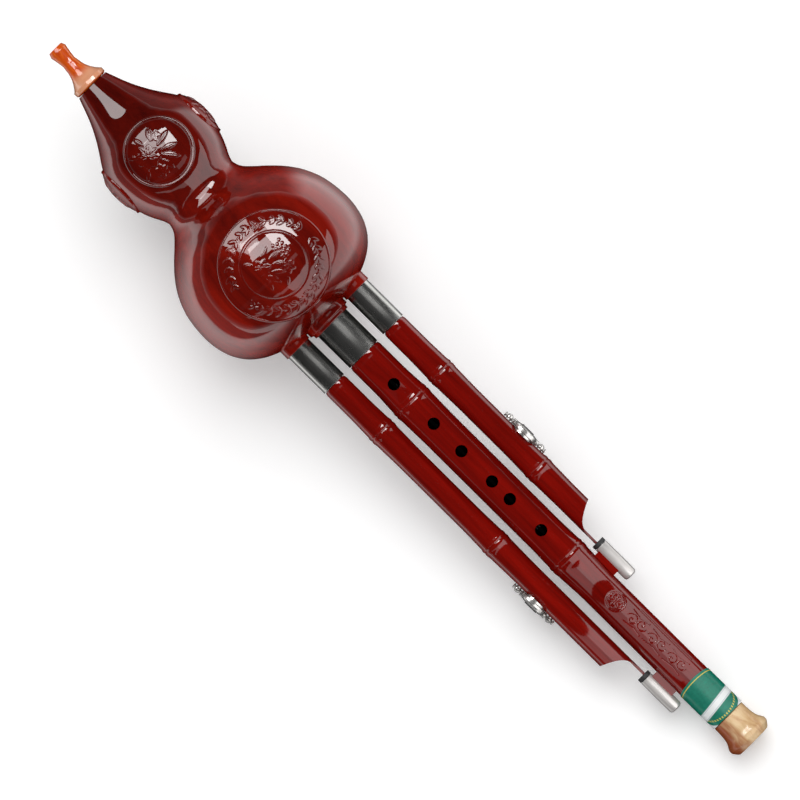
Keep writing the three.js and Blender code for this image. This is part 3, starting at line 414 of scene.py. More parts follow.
def dress(obj, body, slot, *nodes, finish=None):
    """Gives a piece its finish, that of its slot unless another is given, its body, and hides the nodes that
    it stands for.
    """
    obj.data.materials.clear()
    obj.data.materials.append(finish or FINISHES[slot])
    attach(obj, body)
    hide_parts(*nodes)


# Materials


class Nodes:
    """A small helper that adds and links shader nodes."""

    def __init__(self, tree):
        self.tree = tree

    def plug(self, socket, value):
        if isinstance(value, bpy.types.NodeSocket):
            self.tree.links.new(value, socket)
        else:
            socket.default_value = value

    def add(self, kind, inputs=None, **settings):
        node = self.tree.nodes.new(kind)
        for name, value in settings.items():
            setattr(node, name, value)
        for name, value in (inputs or {}).items():
            self.plug(node.inputs[name], value)
        return node

    def shaders(self, kind, first, second, factor=None):
        node = self.add(kind)
        if factor is not None:
            self.plug(node.inputs[0], factor)
        self.plug(node.inputs[-2], first)
        self.plug(node.inputs[-1], second)
        return node.outputs[0]

    def noise(self, grain, detail, roughness, distortion=0.0):
        """Noise with its own fineness along each of the object's axes."""
        coordinates = self.add("ShaderNodeTexCoord").outputs["Object"]
        vector = self.add("ShaderNodeMapping", {"Vector": coordinates, "Scale": grain}).outputs["Vector"]
        inputs = {"Vector": vector, "Scale": 1.0, "Detail": detail, "Roughness": roughness,
                  "Distortion": distortion}
        return self.add("ShaderNodeTexNoise", inputs).outputs["Fac"]

    def ramp(self, value, stops):
        node = self.add("ShaderNodeValToRGB", {"Fac": value})
        elements = node.color_ramp.elements
        while len(elements) < len(stops):
            elements.new(0.5)
        for element, (position, colour) in zip(elements, stops):
            element.position = position
            element.color = (*colour, 1)
        return node.outputs["Color"]

    def mix(self, factor, first, second, mode="MIX"):
        node = self.add("ShaderNodeMix", data_type="RGBA", blend_type=mode)
        for index, value in ((0, factor), (6, first), (7, second)):
            self.plug(node.inputs[index], (*value, 1) if isinstance(value, tuple) else value)
        return node.outputs[2]

    def math(self, operation, *values):
        node = self.add("ShaderNodeMath", operation=operation)
        for socket, value in zip(node.inputs, values):
            self.plug(socket, value)
        return node.outputs[0]

    def times(self, first, *others):
        for other in others:
            first = self.math("MULTIPLY", first, other)
        return first

    def grey(self, value):
        return self.add("ShaderNodeCombineColor", {"Red": value, "Green": value, "Blue": value}).outputs[0]

    def place(self):
        """The X, Y and Z of a place on the object, in the instrument's own axes."""
        coordinates = self.add("ShaderNodeTexCoord").outputs["Object"]
        return self.add("ShaderNodeSeparateXYZ", {"Vector": coordinates}).outputs

    def length(self, first, second):
        return self.math("SQRT", self.math("ADD", self.times(first, first), self.times(second, second)))

    def off_axis(self):
        _, y, z = self.place()
        return self.length(y, z)

    def band(self, value, middle, half):
        """1 within half a width of a value, and 0 outside."""
        away = self.math("ABSOLUTE", self.math("SUBTRACT", value, middle))
        return self.step(away, half * 1.15, half * 0.85)

    def step(self, value, low, high):
        """A smooth step from 0 at one value to 1 at another."""
        inputs = {"Value": value, "From Min": low, "From Max": high}
        return self.add("ShaderNodeMapRange", inputs, interpolation_type="SMOOTHSTEP").outputs["Result"]

    def spread(self, value, low, high):
        """A value from 0 to 1 taken to a range."""
        inputs = {"Value": value, "To Min": low, "To Max": high}
        return self.add("ShaderNodeMapRange", inputs).outputs["Result"]

    def bump(self, height, distance, strength):
        inputs = {"Height": height, "Distance": distance, "Strength": strength}
        return self.add("ShaderNodeBump", inputs).outputs["Normal"]


def material(name, **constants):
    """A new material, its nodes and its Principled shader with constants on the shader's own sockets."""
    made = bpy.data.materials.new(name)
    made.use_nodes = True
    nodes = Nodes(made.node_tree)
    shader = made.node_tree.nodes["Principled BSDF"]
    feed(nodes, shader, **constants)
    return made, nodes, shader


def feed(nodes, shader, **sockets):
    for name, value in sockets.items():
        nodes.plug(shader.inputs[name.replace("_", " ")], value)


GOURD_WOOD = {"light": (0.19, 0.006, 0.002), "dark": (0.075, 0.002, 0.001), "grain": 130, "streak_share": 0.2}
PIPE_WOOD = {"light": (0.24, 0.004, 0.0015), "dark": (0.12, 0.002, 0.0008), "grain": 260,
             "streak_share": 0.18}
# Painted shade and light on the gourd: darker towards the neck and where it faces the front, lighter towards
# the big bulb and at the sides.
GOURD_PAINTED_SHADE = Sizes(stations=(0.03, 0.12), along=(0.65, 1.35), facing=(0.98, 0.55), round=(0.82, 1.35))
FLANGE_START, FLANGE_END = (0.0135, 0.0185), (0.0229, 0.0223)
BELL_BROWN = (0.0005, -0.0075)
PAPER_WHITE, PAPER_GOLD, PAPER_BLUE = (0.78, 0.8, 0.8), (0.62, 0.5, 0.08), (0.35, 0.45, 0.5)


def lacquered_wood(name, light, dark, grain, streak_share, bore=0.0, drift=None):
    """Dark red wood under clear lacquer, with streaks along the grain, painted shade that makes it black
    inside its bore, and, where a drift is given, painted shade and light along and round it.
    """
    made, nodes, shader = material(
        name, Coat_Weight=1.0, Coat_Roughness=0.035, Coat_IOR=1.5, Specular_IOR_Level=0.0)
    streaks = nodes.noise((grain * 0.06, grain, grain), 6, 0.65, 0.4)
    patches = nodes.noise((18, 45, 45), 2, 0.5)
    pores = nodes.noise((grain * 0.25, grain * 4, grain * 4), 3, 0.7)
    colour = nodes.ramp(streaks, [(0.5 - streak_share, dark), (0.5 + streak_share, light)])
    shade = nodes.spread(patches, 0.72, 1.22)
    # Painted shade: the wood turns black inside the bore, where shade falls.
    if bore:
        shade = nodes.times(shade, nodes.step(nodes.off_axis(), bore - 0.0002, bore))
    # Painted shade and light: darker at the neck and in front, lighter at the big bulb and at the sides.
    if drift:
        along = nodes.step(nodes.place()[0], *drift.stations)
        facing = nodes.math("DIVIDE", nodes.math("ABSOLUTE", nodes.place()[2]), nodes.off_axis())
        painted_side_light = nodes.step(facing, *drift.facing)
        shade = nodes.times(shade, nodes.spread(along, *drift.along),
                            nodes.spread(painted_side_light, *drift.round))
    colour = nodes.mix(1.0, colour, nodes.grey(shade), "MULTIPLY")
    feed(nodes, shader, Base_Color=colour, Roughness=nodes.spread(pores, 0.3, 0.5),
         Normal=nodes.bump(pores, 0.00004, 0.3))
    return made


def polished_metal(name, colour, low, high, metallic=1.0):
    """Polished or satin metal with faint lengthwise bands and small wear."""
    made, nodes, shader = material(name, Metallic=metallic)
    bands = nodes.noise((60, 900, 900), 3, 0.6)
    smears = nodes.noise((260, 260, 260), 5, 0.7)
    darker = tuple(0.78 * channel for channel in colour)
    feed(nodes, shader, Base_Color=nodes.ramp(bands, [(0.3, darker), (0.7, colour)]),
         Roughness=nodes.spread(smears, low, high), Normal=nodes.bump(bands, 0.00003, 0.15))
    return made


def amber_horn(name):
    """Streaked orange horn with a paler flange."""
    made, nodes, shader = material(name, Coat_Weight=1.0, Coat_Roughness=0.05, Specular_IOR_Level=0.1)
    streaks = nodes.noise((40, 320, 320), 5, 0.6, 1.2)
    clouds = nodes.noise((120, 160, 160), 3, 0.5)
    colour = nodes.ramp(streaks, [(0.32, (0.42, 0.03, 0.001)), (0.5, (0.62, 0.08, 0.002)),
                                  (0.7, (0.75, 0.2, 0.02))])
    colour = nodes.mix(nodes.spread(clouds, 0.0, 0.5), colour, (0.66, 0.07, 0.001))
    station = nodes.place()[0]
    pale = nodes.times(nodes.step(station, *FLANGE_START), nodes.step(station, *FLANGE_END),
                       nodes.spread(clouds, 0.75, 1.0))
    colour = nodes.mix(pale, colour, (0.72, 0.34, 0.19))
    feed(nodes, shader, Base_Color=colour, Roughness=nodes.spread(clouds, 0.2, 0.35),
         Normal=nodes.bump(streaks, 0.00005, 0.2))
    return made


def bell_horn(name):
    """Cream horn with brown streaks, browner on one side."""
    made, nodes, shader = material(name, Coat_Weight=0.5, Coat_Roughness=0.15, Specular_IOR_Level=0.2)
    streaks = nodes.noise((45, 150, 150), 5, 0.6, 1.6)
    fibres = nodes.noise((120, 1500, 1500), 4, 0.6)
    colour = nodes.ramp(streaks, [(0.25, (0.42, 0.2, 0.09)), (0.42, (0.62, 0.39, 0.19)),
                                  (0.6, (0.72, 0.51, 0.28)), (0.75, (0.78, 0.6, 0.36))])
    drift = nodes.math("ADD", nodes.place()[1], nodes.spread(streaks, -0.004, 0.004))
    colour = nodes.mix(nodes.step(drift, *BELL_BROWN), colour, (0.3, 0.07, 0.02))
    feed(nodes, shader, Base_Color=colour, Roughness=nodes.spread(fibres, 0.25, 0.45),
         Normal=nodes.bump(fibres, 0.00003, 0.3))
    return made


def printed_label(name):
    """Green paper with a gold line, a slanted white band and a white end. It carries no words."""
    made, nodes, shader = material(name, Specular_IOR_Level=0.4)
    low, high = span("label_band")
    x, y, z = nodes.place()
    turn = nodes.math("ARCTAN2", y, z)
    fine = nodes.noise((700, 700, 700), 4, 0.6)
    colour = nodes.ramp(fine, [(0.3, (0.0, 0.14, 0.09)), (0.7, (0.0, 0.2, 0.13))])
    start = nodes.math("MULTIPLY_ADD", nodes.math("COSINE", turn), -LABEL_BOW, float(low[0]) + LABEL_BOW)
    line = nodes.band(nodes.math("SUBTRACT", x, start), LABEL_LINE.inset, LABEL_LINE.half)
    colour = nodes.mix(line, colour, PAPER_GOLD)
    station, half = LABEL_BAND.station, LABEL_BAND.half
    slanted = nodes.math("ADD", x, nodes.times(y, LABEL_BAND.slant))
    right = nodes.step(slanted, station, station + LABEL_BAND.fade)
    along = nodes.math("DIVIDE", nodes.math("SUBTRACT", x, LABEL_OVAL.station), LABEL_OVAL.long)
    across = nodes.math("DIVIDE", nodes.times(turn, float(high[2])), LABEL_OVAL.wide)
    oval = nodes.length(along, across)
    beads = nodes.step(nodes.math("SINE", nodes.times(turn, LABEL_OVAL.count)), -0.2, 0.4)
    dots = nodes.times(nodes.band(oval, LABEL_OVAL.dots, LABEL_OVAL.dot_half), beads, right)
    colour = nodes.mix(dots, colour, PAPER_GOLD)
    colour = nodes.mix(nodes.times(nodes.step(oval, 0.97, 1.0), right), colour, PAPER_WHITE)
    colour = nodes.mix(nodes.band(slanted, station, half), colour, PAPER_WHITE)
    for side in (-1, 1):
        rim = station + side * (half - LABEL_RIM.inset)
        colour = nodes.mix(nodes.band(slanted, rim, LABEL_RIM.half), colour, PAPER_BLUE)
    feed(nodes, shader, Base_Color=colour, Roughness=nodes.spread(fine, 0.25, 0.4),
         Normal=nodes.bump(fine, 0.00002, 0.3))
    return made


def plain_matt(name, colour, grain, roughness, depth):
    """Rubber, cork, felt or moulded plastic: one colour that varies, with a fine surface."""
    made, nodes, shader = material(name)
    speckle = nodes.noise((grain, grain, grain), 5, 0.7)
    darker = tuple(0.7 * channel for channel in colour)
    feed(nodes, shader, Base_Color=nodes.ramp(speckle, [(0.35, darker), (0.65, colour)]),
         Roughness=nodes.spread(speckle, roughness, min(roughness + 0.2, 1.0)),
         Normal=nodes.bump(speckle, depth, 0.5))
    return made


CUP_METAL = polished_metal("cup_metal", (0.68, 0.65, 0.63), 0.25, 0.4, 0.5)
# The melody pipe's lacquer, with painted shade that makes its bore and finger holes black inside.
SHADED_BORE_LACQUER = lacquered_wood("shaded_bore_lacquer", **PIPE_WOOD, bore=BORE_SHADOW)
FINISHES = {
    # The gourd's finish carries painted shade and light along and round it.
    "gourd_lacquer": lacquered_wood("gourd_lacquer", **GOURD_WOOD, drift=GOURD_PAINTED_SHADE),
    "pipe_lacquer": lacquered_wood("pipe_lacquer", **PIPE_WOOD),
    "mouthpiece_horn": amber_horn("mouthpiece_horn"),
    "bell_horn": bell_horn("bell_horn"),
    "polished_metal": polished_metal("polished_metal", (0.42, 0.415, 0.4), 0.22, 0.3),
    "key_metal": polished_metal("key_metal", (0.66, 0.64, 0.62), 0.16, 0.3, 0.75),
    "reed_brass": polished_metal("reed_brass", (0.69, 0.5, 0.22), 0.2, 0.4),
    "black_rubber": plain_matt("black_rubber", (0.02, 0.02, 0.021), 1800, 0.5, 0.00004),
    "seal_cork": plain_matt("seal_cork", (0.42, 0.24, 0.11), 900, 0.75, 0.0001),
    "holder_plastic": plain_matt("holder_plastic", (0.66, 0.6, 0.5), 500, 0.4, 0.00002),
    "pad_felt": plain_matt("pad_felt", (0.62, 0.57, 0.48), 2500, 0.8, 0.0001),
    "label_paper": printed_label("label_paper"),
}

# Carving of the medallions


def humps(share):
    """A round hump over each place, 1 high where the share is 0 and flat from 1 on."""
    return np.sqrt(np.clip(1 - share**2, 0, 1))


def ring(distance, radius, half_width):
    return humps((distance - radius) / half_width)


def leaves(along, across, strokes):
    """The height of a group of almond leaves with a vein each."""
    height = np.zeros_like(along)
    for x, y, length, half, angle, rise in strokes:
        u = ((along - x) * math.cos(angle) + (across - y) * math.sin(angle)) / length
        v = (across - y) * math.cos(angle) - (along - x) * math.sin(angle)
        width = half * np.sin(math.pi * np.clip(u, 0.001, 0.999)) ** LEAF_POINT
        body = humps(v / width) * (u > 0) * (u < 1)
        vein = VEIN_SHARE * np.exp(-((v / VEIN_WIDTH) ** 2)) * (body > 0)
        height = np.maximum(height, rise * (body - vein))
    return height


def wreath(along, across):
    """Two leafy branches that cross below the dome of the big medallion and bend up round it."""
    strokes = []
    radius = WREATH.radius
    for side in (1, -1):
        for i in range(WREATH.pairs):
            turn = -math.pi / 2 + side * (WREATH.first + i * WREATH.step)
            heading = turn + side * math.pi / 2
            leans = WREATH.leans if i % 3 else (*WREATH.leans, 0.0)
            strokes += [(radius * math.cos(turn), radius * math.sin(turn), WREATH.lengths[i % 2],
                         WREATH.half, heading + lean * side, WREATH.rise) for lean in leans]
    stem = WREATH.stem_rise * ring(np.hypot(along, across), radius, WREATH.stem_half)
    stem *= across < WREATH.stem_end * radius
    return np.maximum(leaves(along, across, strokes), stem)


def blossom(along, across, x, y, size, petals, rise, phase):
    """The height of a flower with two layers of petals and a round heart."""
    strokes = []
    for layer, share in enumerate((1.0, PETAL.inner)):
        for i in range(petals):
            angle = phase + 2 * math.pi * (i + 0.5 * layer) / petals
            length = size * share
            strokes.append((x, y, length, length * PETAL.half, angle, rise * PETAL.rises[layer]))
    heart = humps(np.hypot(along - x, across - y) / (PETAL.heart * size))
    return np.maximum(leaves(along, across, strokes), PETAL.heart_rise * rise * heart)


def berries(along, across):
    """The height of a bunch of four staggered rows of three berries."""
    height = np.zeros_like(along)
    for i in range(4):
        for j in range(3):
            x = BERRIES.first[0] + BERRIES.step[0] * i + BERRIES.stagger * (j % 2)
            y = BERRIES.first[1] + BERRIES.step[1] * j
            bead = humps(np.hypot(along - x, across - y) / BERRIES.radius)
            height = np.maximum(height, BERRIES.rise * bead)
    return height


def motif(along, across, blossoms, strokes):
    height = leaves(along, across, strokes)
    for flower in blossoms:
        height = np.maximum(height, blossom(along, across, *flower))
    return height


def big_relief(along, across):
    distance = np.hypot(along, across)
    rim = ring(distance, BIG_MEDALLION.radius - RIM_RING.inset, RIM_RING.half)
    outer = BIG_MEDALLION.foot + RIM_RING.rise * rim + wreath(along, across)
    cap = DOME.foot + (DOME.rise - DOME.foot) * (1 - (distance / DOME.radius) ** 2)
    cap += np.maximum(motif(along, across, BIG_BLOSSOMS, BIG_LEAVES), berries(along, across))
    height = np.where(distance < DOME.radius, cap, outer)
    return height - DOME.depth * ring(distance, DOME.radius, DOME.groove)


def small_relief(along, across):
    distance = np.hypot(along, across)
    radius = SMALL_MEDALLION.radius
    height = SMALL_MEDALLION.foot + SMALL_MEDALLION.bulge * (1 - (distance / radius) ** 2)
    height += RIM_RING.rise * ring(distance, radius - RIM_RING.inset, RIM_RING.half)
    groove = ring(distance, radius - INNER_GROOVE.inset, INNER_GROOVE.half)
    return height - INNER_GROOVE.depth * groove + motif(along, across, SMALL_BLOSSOMS, SMALL_LEAVES)


# Gourd

GOURD_LINE = curve_through(outline_of("gourd_front_shell", SEAM_ANGLE)[:-1], 6)
GOURD_TOP = GOURD_LINE[0][0]


def gourd_radius(stations):
    return np.interp(stations, GOURD_LINE[:, 0], GOURD_LINE[:, 1])


def medallion(name, station, angle, radius, relief, scale=1.0):
    """A carved round boss that follows the gourd, seen along its outward direction."""
    radius = scale * radius
    flat = radius - MEDALLION_EDGE
    distances = [*np.arange(CARVING_STEP, flat, CARVING_STEP),
                 *(flat + MEDALLION_EDGE * math.sin(turn) for turn in np.linspace(0, math.pi / 2, 4)), radius]
    count = int(2 * math.pi * radius / TURN_STEP)
    turns = np.arange(count) * 2 * math.pi / count
    grid = [(distance * math.cos(turn), distance * math.sin(turn))
            for distance in distances for turn in turns]
    along, across = np.array([(0.0, 0.0), *grid]).T
    here = gourd_radius(station + along)
    rise_along = gourd_radius(station + along + SLOPE_STEP) - gourd_radius(station + along - SLOPE_STEP)
    base = np.sqrt(here**2 - across**2)
    facing = base / here / np.sqrt(1 + (rise_along / (2 * SLOPE_STEP)) ** 2)
    past = np.maximum(np.hypot(along, across) - flat, 0) / MEDALLION_EDGE
    rise = relief(along / scale, across / scale) - MEDALLION_EDGE * (1 - humps(past))
    rise[-count:] = -MEDALLION_SKIRT
    height = base + rise / facing
    out = np.array((0, math.cos(angle), math.sin(angle)))
    side = np.array((0, -math.sin(angle), math.cos(angle)))
    vertices = (station + along)[:, None] * (1, 0, 0) + height[:, None] * out + across[:, None] * side
    faces = [(0, 1 + i, 1 + (i + 1) % count) for i in range(count)]
    for low in range(1, 1 + (len(distances) - 1) * count, count):
        faces += [(low + i, low + count + i, low + count + (i + 1) % count, low + (i + 1) % count)
                  for i in range(count)]
    faces.append(tuple(len(vertices) - 1 - i for i in range(count)))
    return mesh_object(name, (vertices, faces), MEDALLION_SHARP)


def keep_above_floor(obj):
    """Flattens what would go below the floor, as on the back that the gourd lies on."""
    for vertex in obj.data.vertices:
        world = PLACE @ vertex.co
        if world.z < 0:
            world.z = 0
            vertex.co = PLACE.inverted() @ world


def gourd_skin():
    """The hollow gourd, open at its neck and cut out for the three ferrules."""
    inner_end = BASE_POINT - WALL
    bore = span("neck_sleeve")[1][1] + SLEEVE_GAP
    outside = rounded([*GOURD_LINE, (BASE_POINT, 0.0)], GOURD_ROUND, closed=False)
    inside = [(min(x, inner_end), max(r - WALL, 0.0)) for x, r in GOURD_LINE[::4]
              if x > GOURD_TOP + NECK_BORE_LENGTH]
    line = [(GOURD_TOP, bore), *outside, (inner_end, 0.0), *inside[::-1], (inside[0][0], bore)]
    line = [(x, r) for x, r in line if r > TINY or x >= inner_end - TINY]
    skin = mesh_object("gourd_skin", lathe(line, GOURD_SIDES))
    cutters = []
    for node in ("main_ferrule", "right_drone_ferrule", "left_drone_ferrule"):
        low, high = span(node)
        radius = (high[2] - low[2]) / 2 + FERRULE_GAP
        cutters.append(moved(lathe(block(*SOCKET_CUT, 0, radius), SOCKET_SIDES), (0, centre(node)[1], 0)))
    cut(skin, cutters)
    return skin


def collars():
    """The stepped boss round the melody pipe and the collar round each drone."""
    bore = span("main_ferrule")[1][2] + FERRULE_GAP
    boss = [(BOSS_START, bore)]
    for end, radius in BOSS_STEPS:
        boss += [(boss[-1][0], radius), (end, radius)]
    boss.append((end, bore))
    shapes = [turned(boss, BOSS_ROUND, PIPE_SIDES, closed=True)]
    drone_bore = span("right_drone_ferrule")[1][2] + FERRULE_GAP
    collar = block(COLLAR.start, COLLAR.end, drone_bore, COLLAR.radius)
    collar = turned(collar, BOSS_ROUND, PIPE_SIDES, closed=True)
    for side in SIDES.values():
        shapes.append(moved(collar, (0, side * COLLAR.across, 0)))
    return mesh_object("gourd_collars", joined(*shapes))


def gourd():
    pieces = [gourd_skin()]
    radius = SMALL_MEDALLION.radius
    for name, angle in (("front", FRONT_ANGLE), ("back", -FRONT_ANGLE), ("right", 0.0), ("left", math.pi)):
        scale = SIDE_MEDALLION_SHARE if name in SIDES else 1.0
        pieces.append(medallion(f"small_medallion_{name}", SMALL_BULB, angle, radius, small_relief, scale))
    radius = BIG_MEDALLION.radius
    for name, angle in (("front", FRONT_ANGLE), ("back", -FRONT_ANGLE)):
        pieces.append(medallion(f"big_medallion_{name}", BIG_BULB, angle, radius, big_relief))
        keep_above_floor(pieces[-1])
    pieces.append(collars())
    for piece in pieces:
        dress(piece, "gourd", "gourd_lacquer", *GOURD_SHELLS)


# Turned pieces that keep the frame's own outline

TURNED = [
    # node, body, slot, size of the rounds, sides
    ("mouthpiece", "mouthpiece", "mouthpiece_horn", 0.0004, 96),
    ("bell", "main_pipe", "bell_horn", 0.0003, 96),
    ("main_ferrule", "main_pipe", "polished_metal", 0.00025, 96),
    *[(f"{side}_drone_ferrule", f"{side}_drone", "polished_metal", 0.00025, 80) for side in SIDES],
    *[(f"{side}_tail_cup", "main_pipe", "polished_metal", 0.0004, 64) for side in SIDES],
    *[(f"{side}_cup_grommet", "main_pipe", "black_rubber", 0.0006, 64) for side in SIDES],
]


def turned_pieces():
    for node, body, slot, size, sides in TURNED:
        across = centre(node)[1]
        line = outline_of(node, FRONT_ANGLE, across)
        closed = line[0][1] > TINY
        shape = turned(curve_through(line, 4, closed), size, sides, closed)
        obj = mesh_object(node + "_turned", moved(shape, (0, across, 0)))
        dress(obj, body, slot, node, finish=CUP_METAL if node.endswith("tail_cup") else None)


# Bamboo pipes

PIPE_START = span("main_ferrule")[1][0] + PIPE_GAP


def ease(t):
    t = np.clip(t, 0, 1)
    return t * t * (3 - 2 * t)


def bamboo(stations, nodes, radii):
    """The radius of a bamboo pipe that swells slowly towards each node, with a groove and a ring on it."""
    radius = np.full(len(stations), radii[0])
    for node, before, after in zip(nodes, radii, radii[1:]):
        ridge = max(before, after) + NODE_RISE
        past = stations - node
        above = before + (ridge - before) * ease(1 + past / NODE_SWELL_ABOVE)
        below = after + (ridge - after) * ease(1 - past / NODE_SWELL_BELOW)
        radius = np.where(past > 0, below, np.where(past > -NODE_SWELL_ABOVE, above, radius))
        for rise, offset, width in NODE_BUMPS:
            radius += rise * np.exp(-(((past - offset) / width) ** 2))
    return radius


def pipe_outline(node, angle, across, end, shares, fine):
    """The frame's outline of a pipe with its outside drawn finely. Shares place its nodes up to an end."""
    edge = outline_of(node, angle, across)
    nodes = [PIPE_START + share * (end - PIPE_START) for share in shares]
    shoulder = edge[np.abs(edge[:, 0] - PIPE_START) < TINY, 1].min()
    outside = np.flatnonzero(edge[:, 1] > shoulder + TINY)
    first, last = outside[0], outside[-1]
    tip = edge[last][0]
    between = np.interp((nodes[0] + nodes[1]) / 2, edge[first:last + 1, 0], edge[first:last + 1, 1])
    stations = [np.arange(PIPE_START, tip, PIPE_STEP), [tip], fine]
    stations += [np.arange(place + NODE_ZONE[0], place + NODE_ZONE[1], NODE_STEP) for place in nodes]
    stations = np.unique(np.round(np.concatenate(stations), 6))
    radii = bamboo(stations, nodes, (edge[first][1], between, edge[last][1]))
    radii -= PIPE_EDGE.drop * (1 - ease((stations - PIPE_START) / PIPE_EDGE.length))
    inside = edge[np.r_[last + 1:len(edge), :1]] if edge[0][1] > TINY else edge[last + 1:]
    steps = [np.linspace(start, stop, math.ceil(np.abs(stop - start).max() / BORE_STEP), endpoint=False)
             for start, stop in zip(inside, inside[1:])]
    return np.vstack((edge[:first], np.column_stack((stations, radii)), *steps, inside[-1:]))


def hole(station, across, direction, radius, reach):
    return moved(lathe(block(0, reach, 0, radius), HOLE_SIDES), (station, across, 0), direction)


def circle(x, y, radius, count=40):
    angles = np.linspace(0, 2 * math.pi, count + 1)
    return np.column_stack((x + radius * np.cos(angles), y + radius * np.sin(angles)))


def spiral(x, y, size, phase):
    steps = np.linspace(SCROLL_EYE, 1, 40)
    angles = phase + SCROLL_TURNS * 2 * math.pi * steps
    return np.column_stack((x + size * steps * np.cos(angles), y + size * steps * np.sin(angles)))


def tail_lines():
    """Generic scrollwork: a round rosette, three pairs of scrolls and a double line beside them."""
    x, y = ROSETTE.station, CARVING_MIDDLE
    lines = [circle(x, y, radius) for radius in ROSETTE.rings]
    for x_petal, y_petal in circle(x, y, ROSETTE.offset, ROSETTE.petals)[:-1]:
        lines.append(circle(x_petal, y_petal, ROSETTE.petal, 24))
    for x in SCROLL_STATIONS:
        lines += [spiral(x + along, y + up, size, phase) for along, up, size, phase in SCROLLS]
        lines += [np.array(sprig) + (x, y) for sprig in SPRIGS]
    for offset in BORDER.offsets:
        lines.append(np.array([(station, y + offset) for station in BORDER.stations]))
    return lines


def carving_depth(stations, distances):
    """How deep the engraved lines are at each place."""
    nearest = np.full(len(stations), 1.0)
    places = np.column_stack((stations, distances))
    for line in tail_lines():
        for start, end in zip(line, line[1:]):
            step = end - start
            share = np.clip(((places - start) @ step) / (step @ step), 0, 1)
            gap = np.hypot(*(places - start - share[:, None] * step).T)
            nearest = np.minimum(nearest, gap)
    return ENGRAVED_DEPTH * np.exp(-((nearest / ENGRAVED_WIDTH) ** 2))


def melody_pipe():
    end = span("main_pipe")[1][0]
    line = pipe_outline("main_pipe", CLEAR_ANGLE, 0.0, end, MAIN_NODE_SHARES, np.arange(*CARVED, CARVED_STEP))
    pipe = mesh_object("melody_pipe", lathe(line))
    places = [(share, 1) for share in FINGER_HOLE_SHARES] + [(THUMB_HOLE_SHARE, -1)]
    cut(pipe, [hole(PIPE_START + share * (end - PIPE_START), 0, (0, 0, up), FINGER_HOLE_RADIUS, HOLE_REACH)
               for share, up in places])
    soften_holes(pipe)
    carve_tail(pipe)
    dress(pipe, "main_pipe", "pipe_lacquer", "main_pipe", finish=SHADED_BORE_LACQUER)


def soften_holes(pipe):
    """A small bevel round each hole's outer rim."""
    work = bmesh.new()
    work.from_mesh(pipe.data)
    start, end = PIPE_START + HOLE_ZONE_ENDS[0], span("main_pipe")[1][0] - HOLE_ZONE_ENDS[1]
    rims = []
    for edge in work.edges:
        place = (edge.verts[0].co + edge.verts[1].co) / 2
        outside = start < place.x < end and math.hypot(place.y, place.z) > HOLE_RIM.radius
        if outside and edge.is_manifold and edge.calc_face_angle(0) > HOLE_RIM.angle:
            rims.append(edge)
    bmesh.ops.bevel(work, geom=rims, offset=HOLE_RIM.bevel, segments=2, affect="EDGES", clamp_overlap=True)
    work.to_mesh(pipe.data)
    work.free()
    tidy_mesh(pipe)


def in_carving(place):
    distance = (FRONT_ANGLE - math.atan2(place.z, place.y)) * TAIL_RADIUS
    outside = math.hypot(place.y, place.z) > TAIL_RADIUS - CARVED_DEEP
    return CARVED[0] < place.x < CARVED[1] and abs(distance) < CARVED_HALF and outside


def carve_tail(pipe):
    """Makes the front of the tail finer and presses the carved lines into it."""
    work = bmesh.new()
    work.from_mesh(pipe.data)
    edges = [edge for edge in work.edges if all(in_carving(vertex.co) for vertex in edge.verts)]
    bmesh.ops.subdivide_edges(work, edges=edges, cuts=CARVED_CUTS, use_grid_fill=True)
    chosen = [vertex for vertex in work.verts if in_carving(vertex.co)]
    places = np.array([vertex.co for vertex in chosen])
    distances = (FRONT_ANGLE - np.arctan2(places[:, 2], places[:, 1])) * TAIL_RADIUS
    radius = TAIL_RADIUS - carving_depth(places[:, 0], distances)
    for vertex, wanted in zip(chosen, radius):
        vertex.co.yz *= wanted / math.hypot(vertex.co.y, vertex.co.z)
    work.to_mesh(pipe.data)
    work.free()
    tidy_mesh(pipe)


def prism(points, low, high, upright):
    """A flat outline of (station, distance) points, extruded up, or else across."""
    count = len(points)
    rows = [(station, distance, level) if upright else (station, level, distance)
            for level in (low, high) for station, distance in points]
    faces = [tuple(range(count)), tuple(reversed(range(count, 2 * count)))]
    faces += [(i, (i + 1) % count, count + (i + 1) % count, count + i) for i in range(count)]
    return np.array(rows), faces


def drone_axis(name):
    return centre(f"{name}_drone_ferrule")[1]


def scoop_cutters(name, scoop_start, nib_end, radius):
    """What is cut away below a drone: a hollow curve down to a thin nib, and a taper on each edge."""
    side, across = SIDES[name], drone_axis(name)
    half_way, foot = scoop_start + 0.5 * SCOOP_LENGTH, scoop_start + SCOOP_LENGTH
    past = nib_end + OVERRUN
    reach = radius + NODE_RISE + OVERRUN
    face = -radius + NIB_THICKNESS
    corner = np.array((half_way, face + SCOOP_SAG * (radius - face)))
    scoop = bend(np.array((scoop_start, radius)), corner, np.array((foot, face)), SCOOP_STEPS)
    scoop += [(past, face), (past, reach), (scoop_start, reach)]
    cutters = [prism([(station, across + side * out) for station, out in scoop], -reach, reach, True)]
    narrow = nib_end - NIB_IN_CUP - NIB_STRAIGHT
    taper = [(half_way, reach), (foot, 0.5 * radius), (narrow, NIB_HALF_WIDTH), (past, NIB_HALF_WIDTH),
             (past, reach)]
    for up in (1, -1):
        edge = [(station, up * height) for station, height in taper]
        cutters.append(prism(edge, across - reach, across + reach, False))
    return cutters


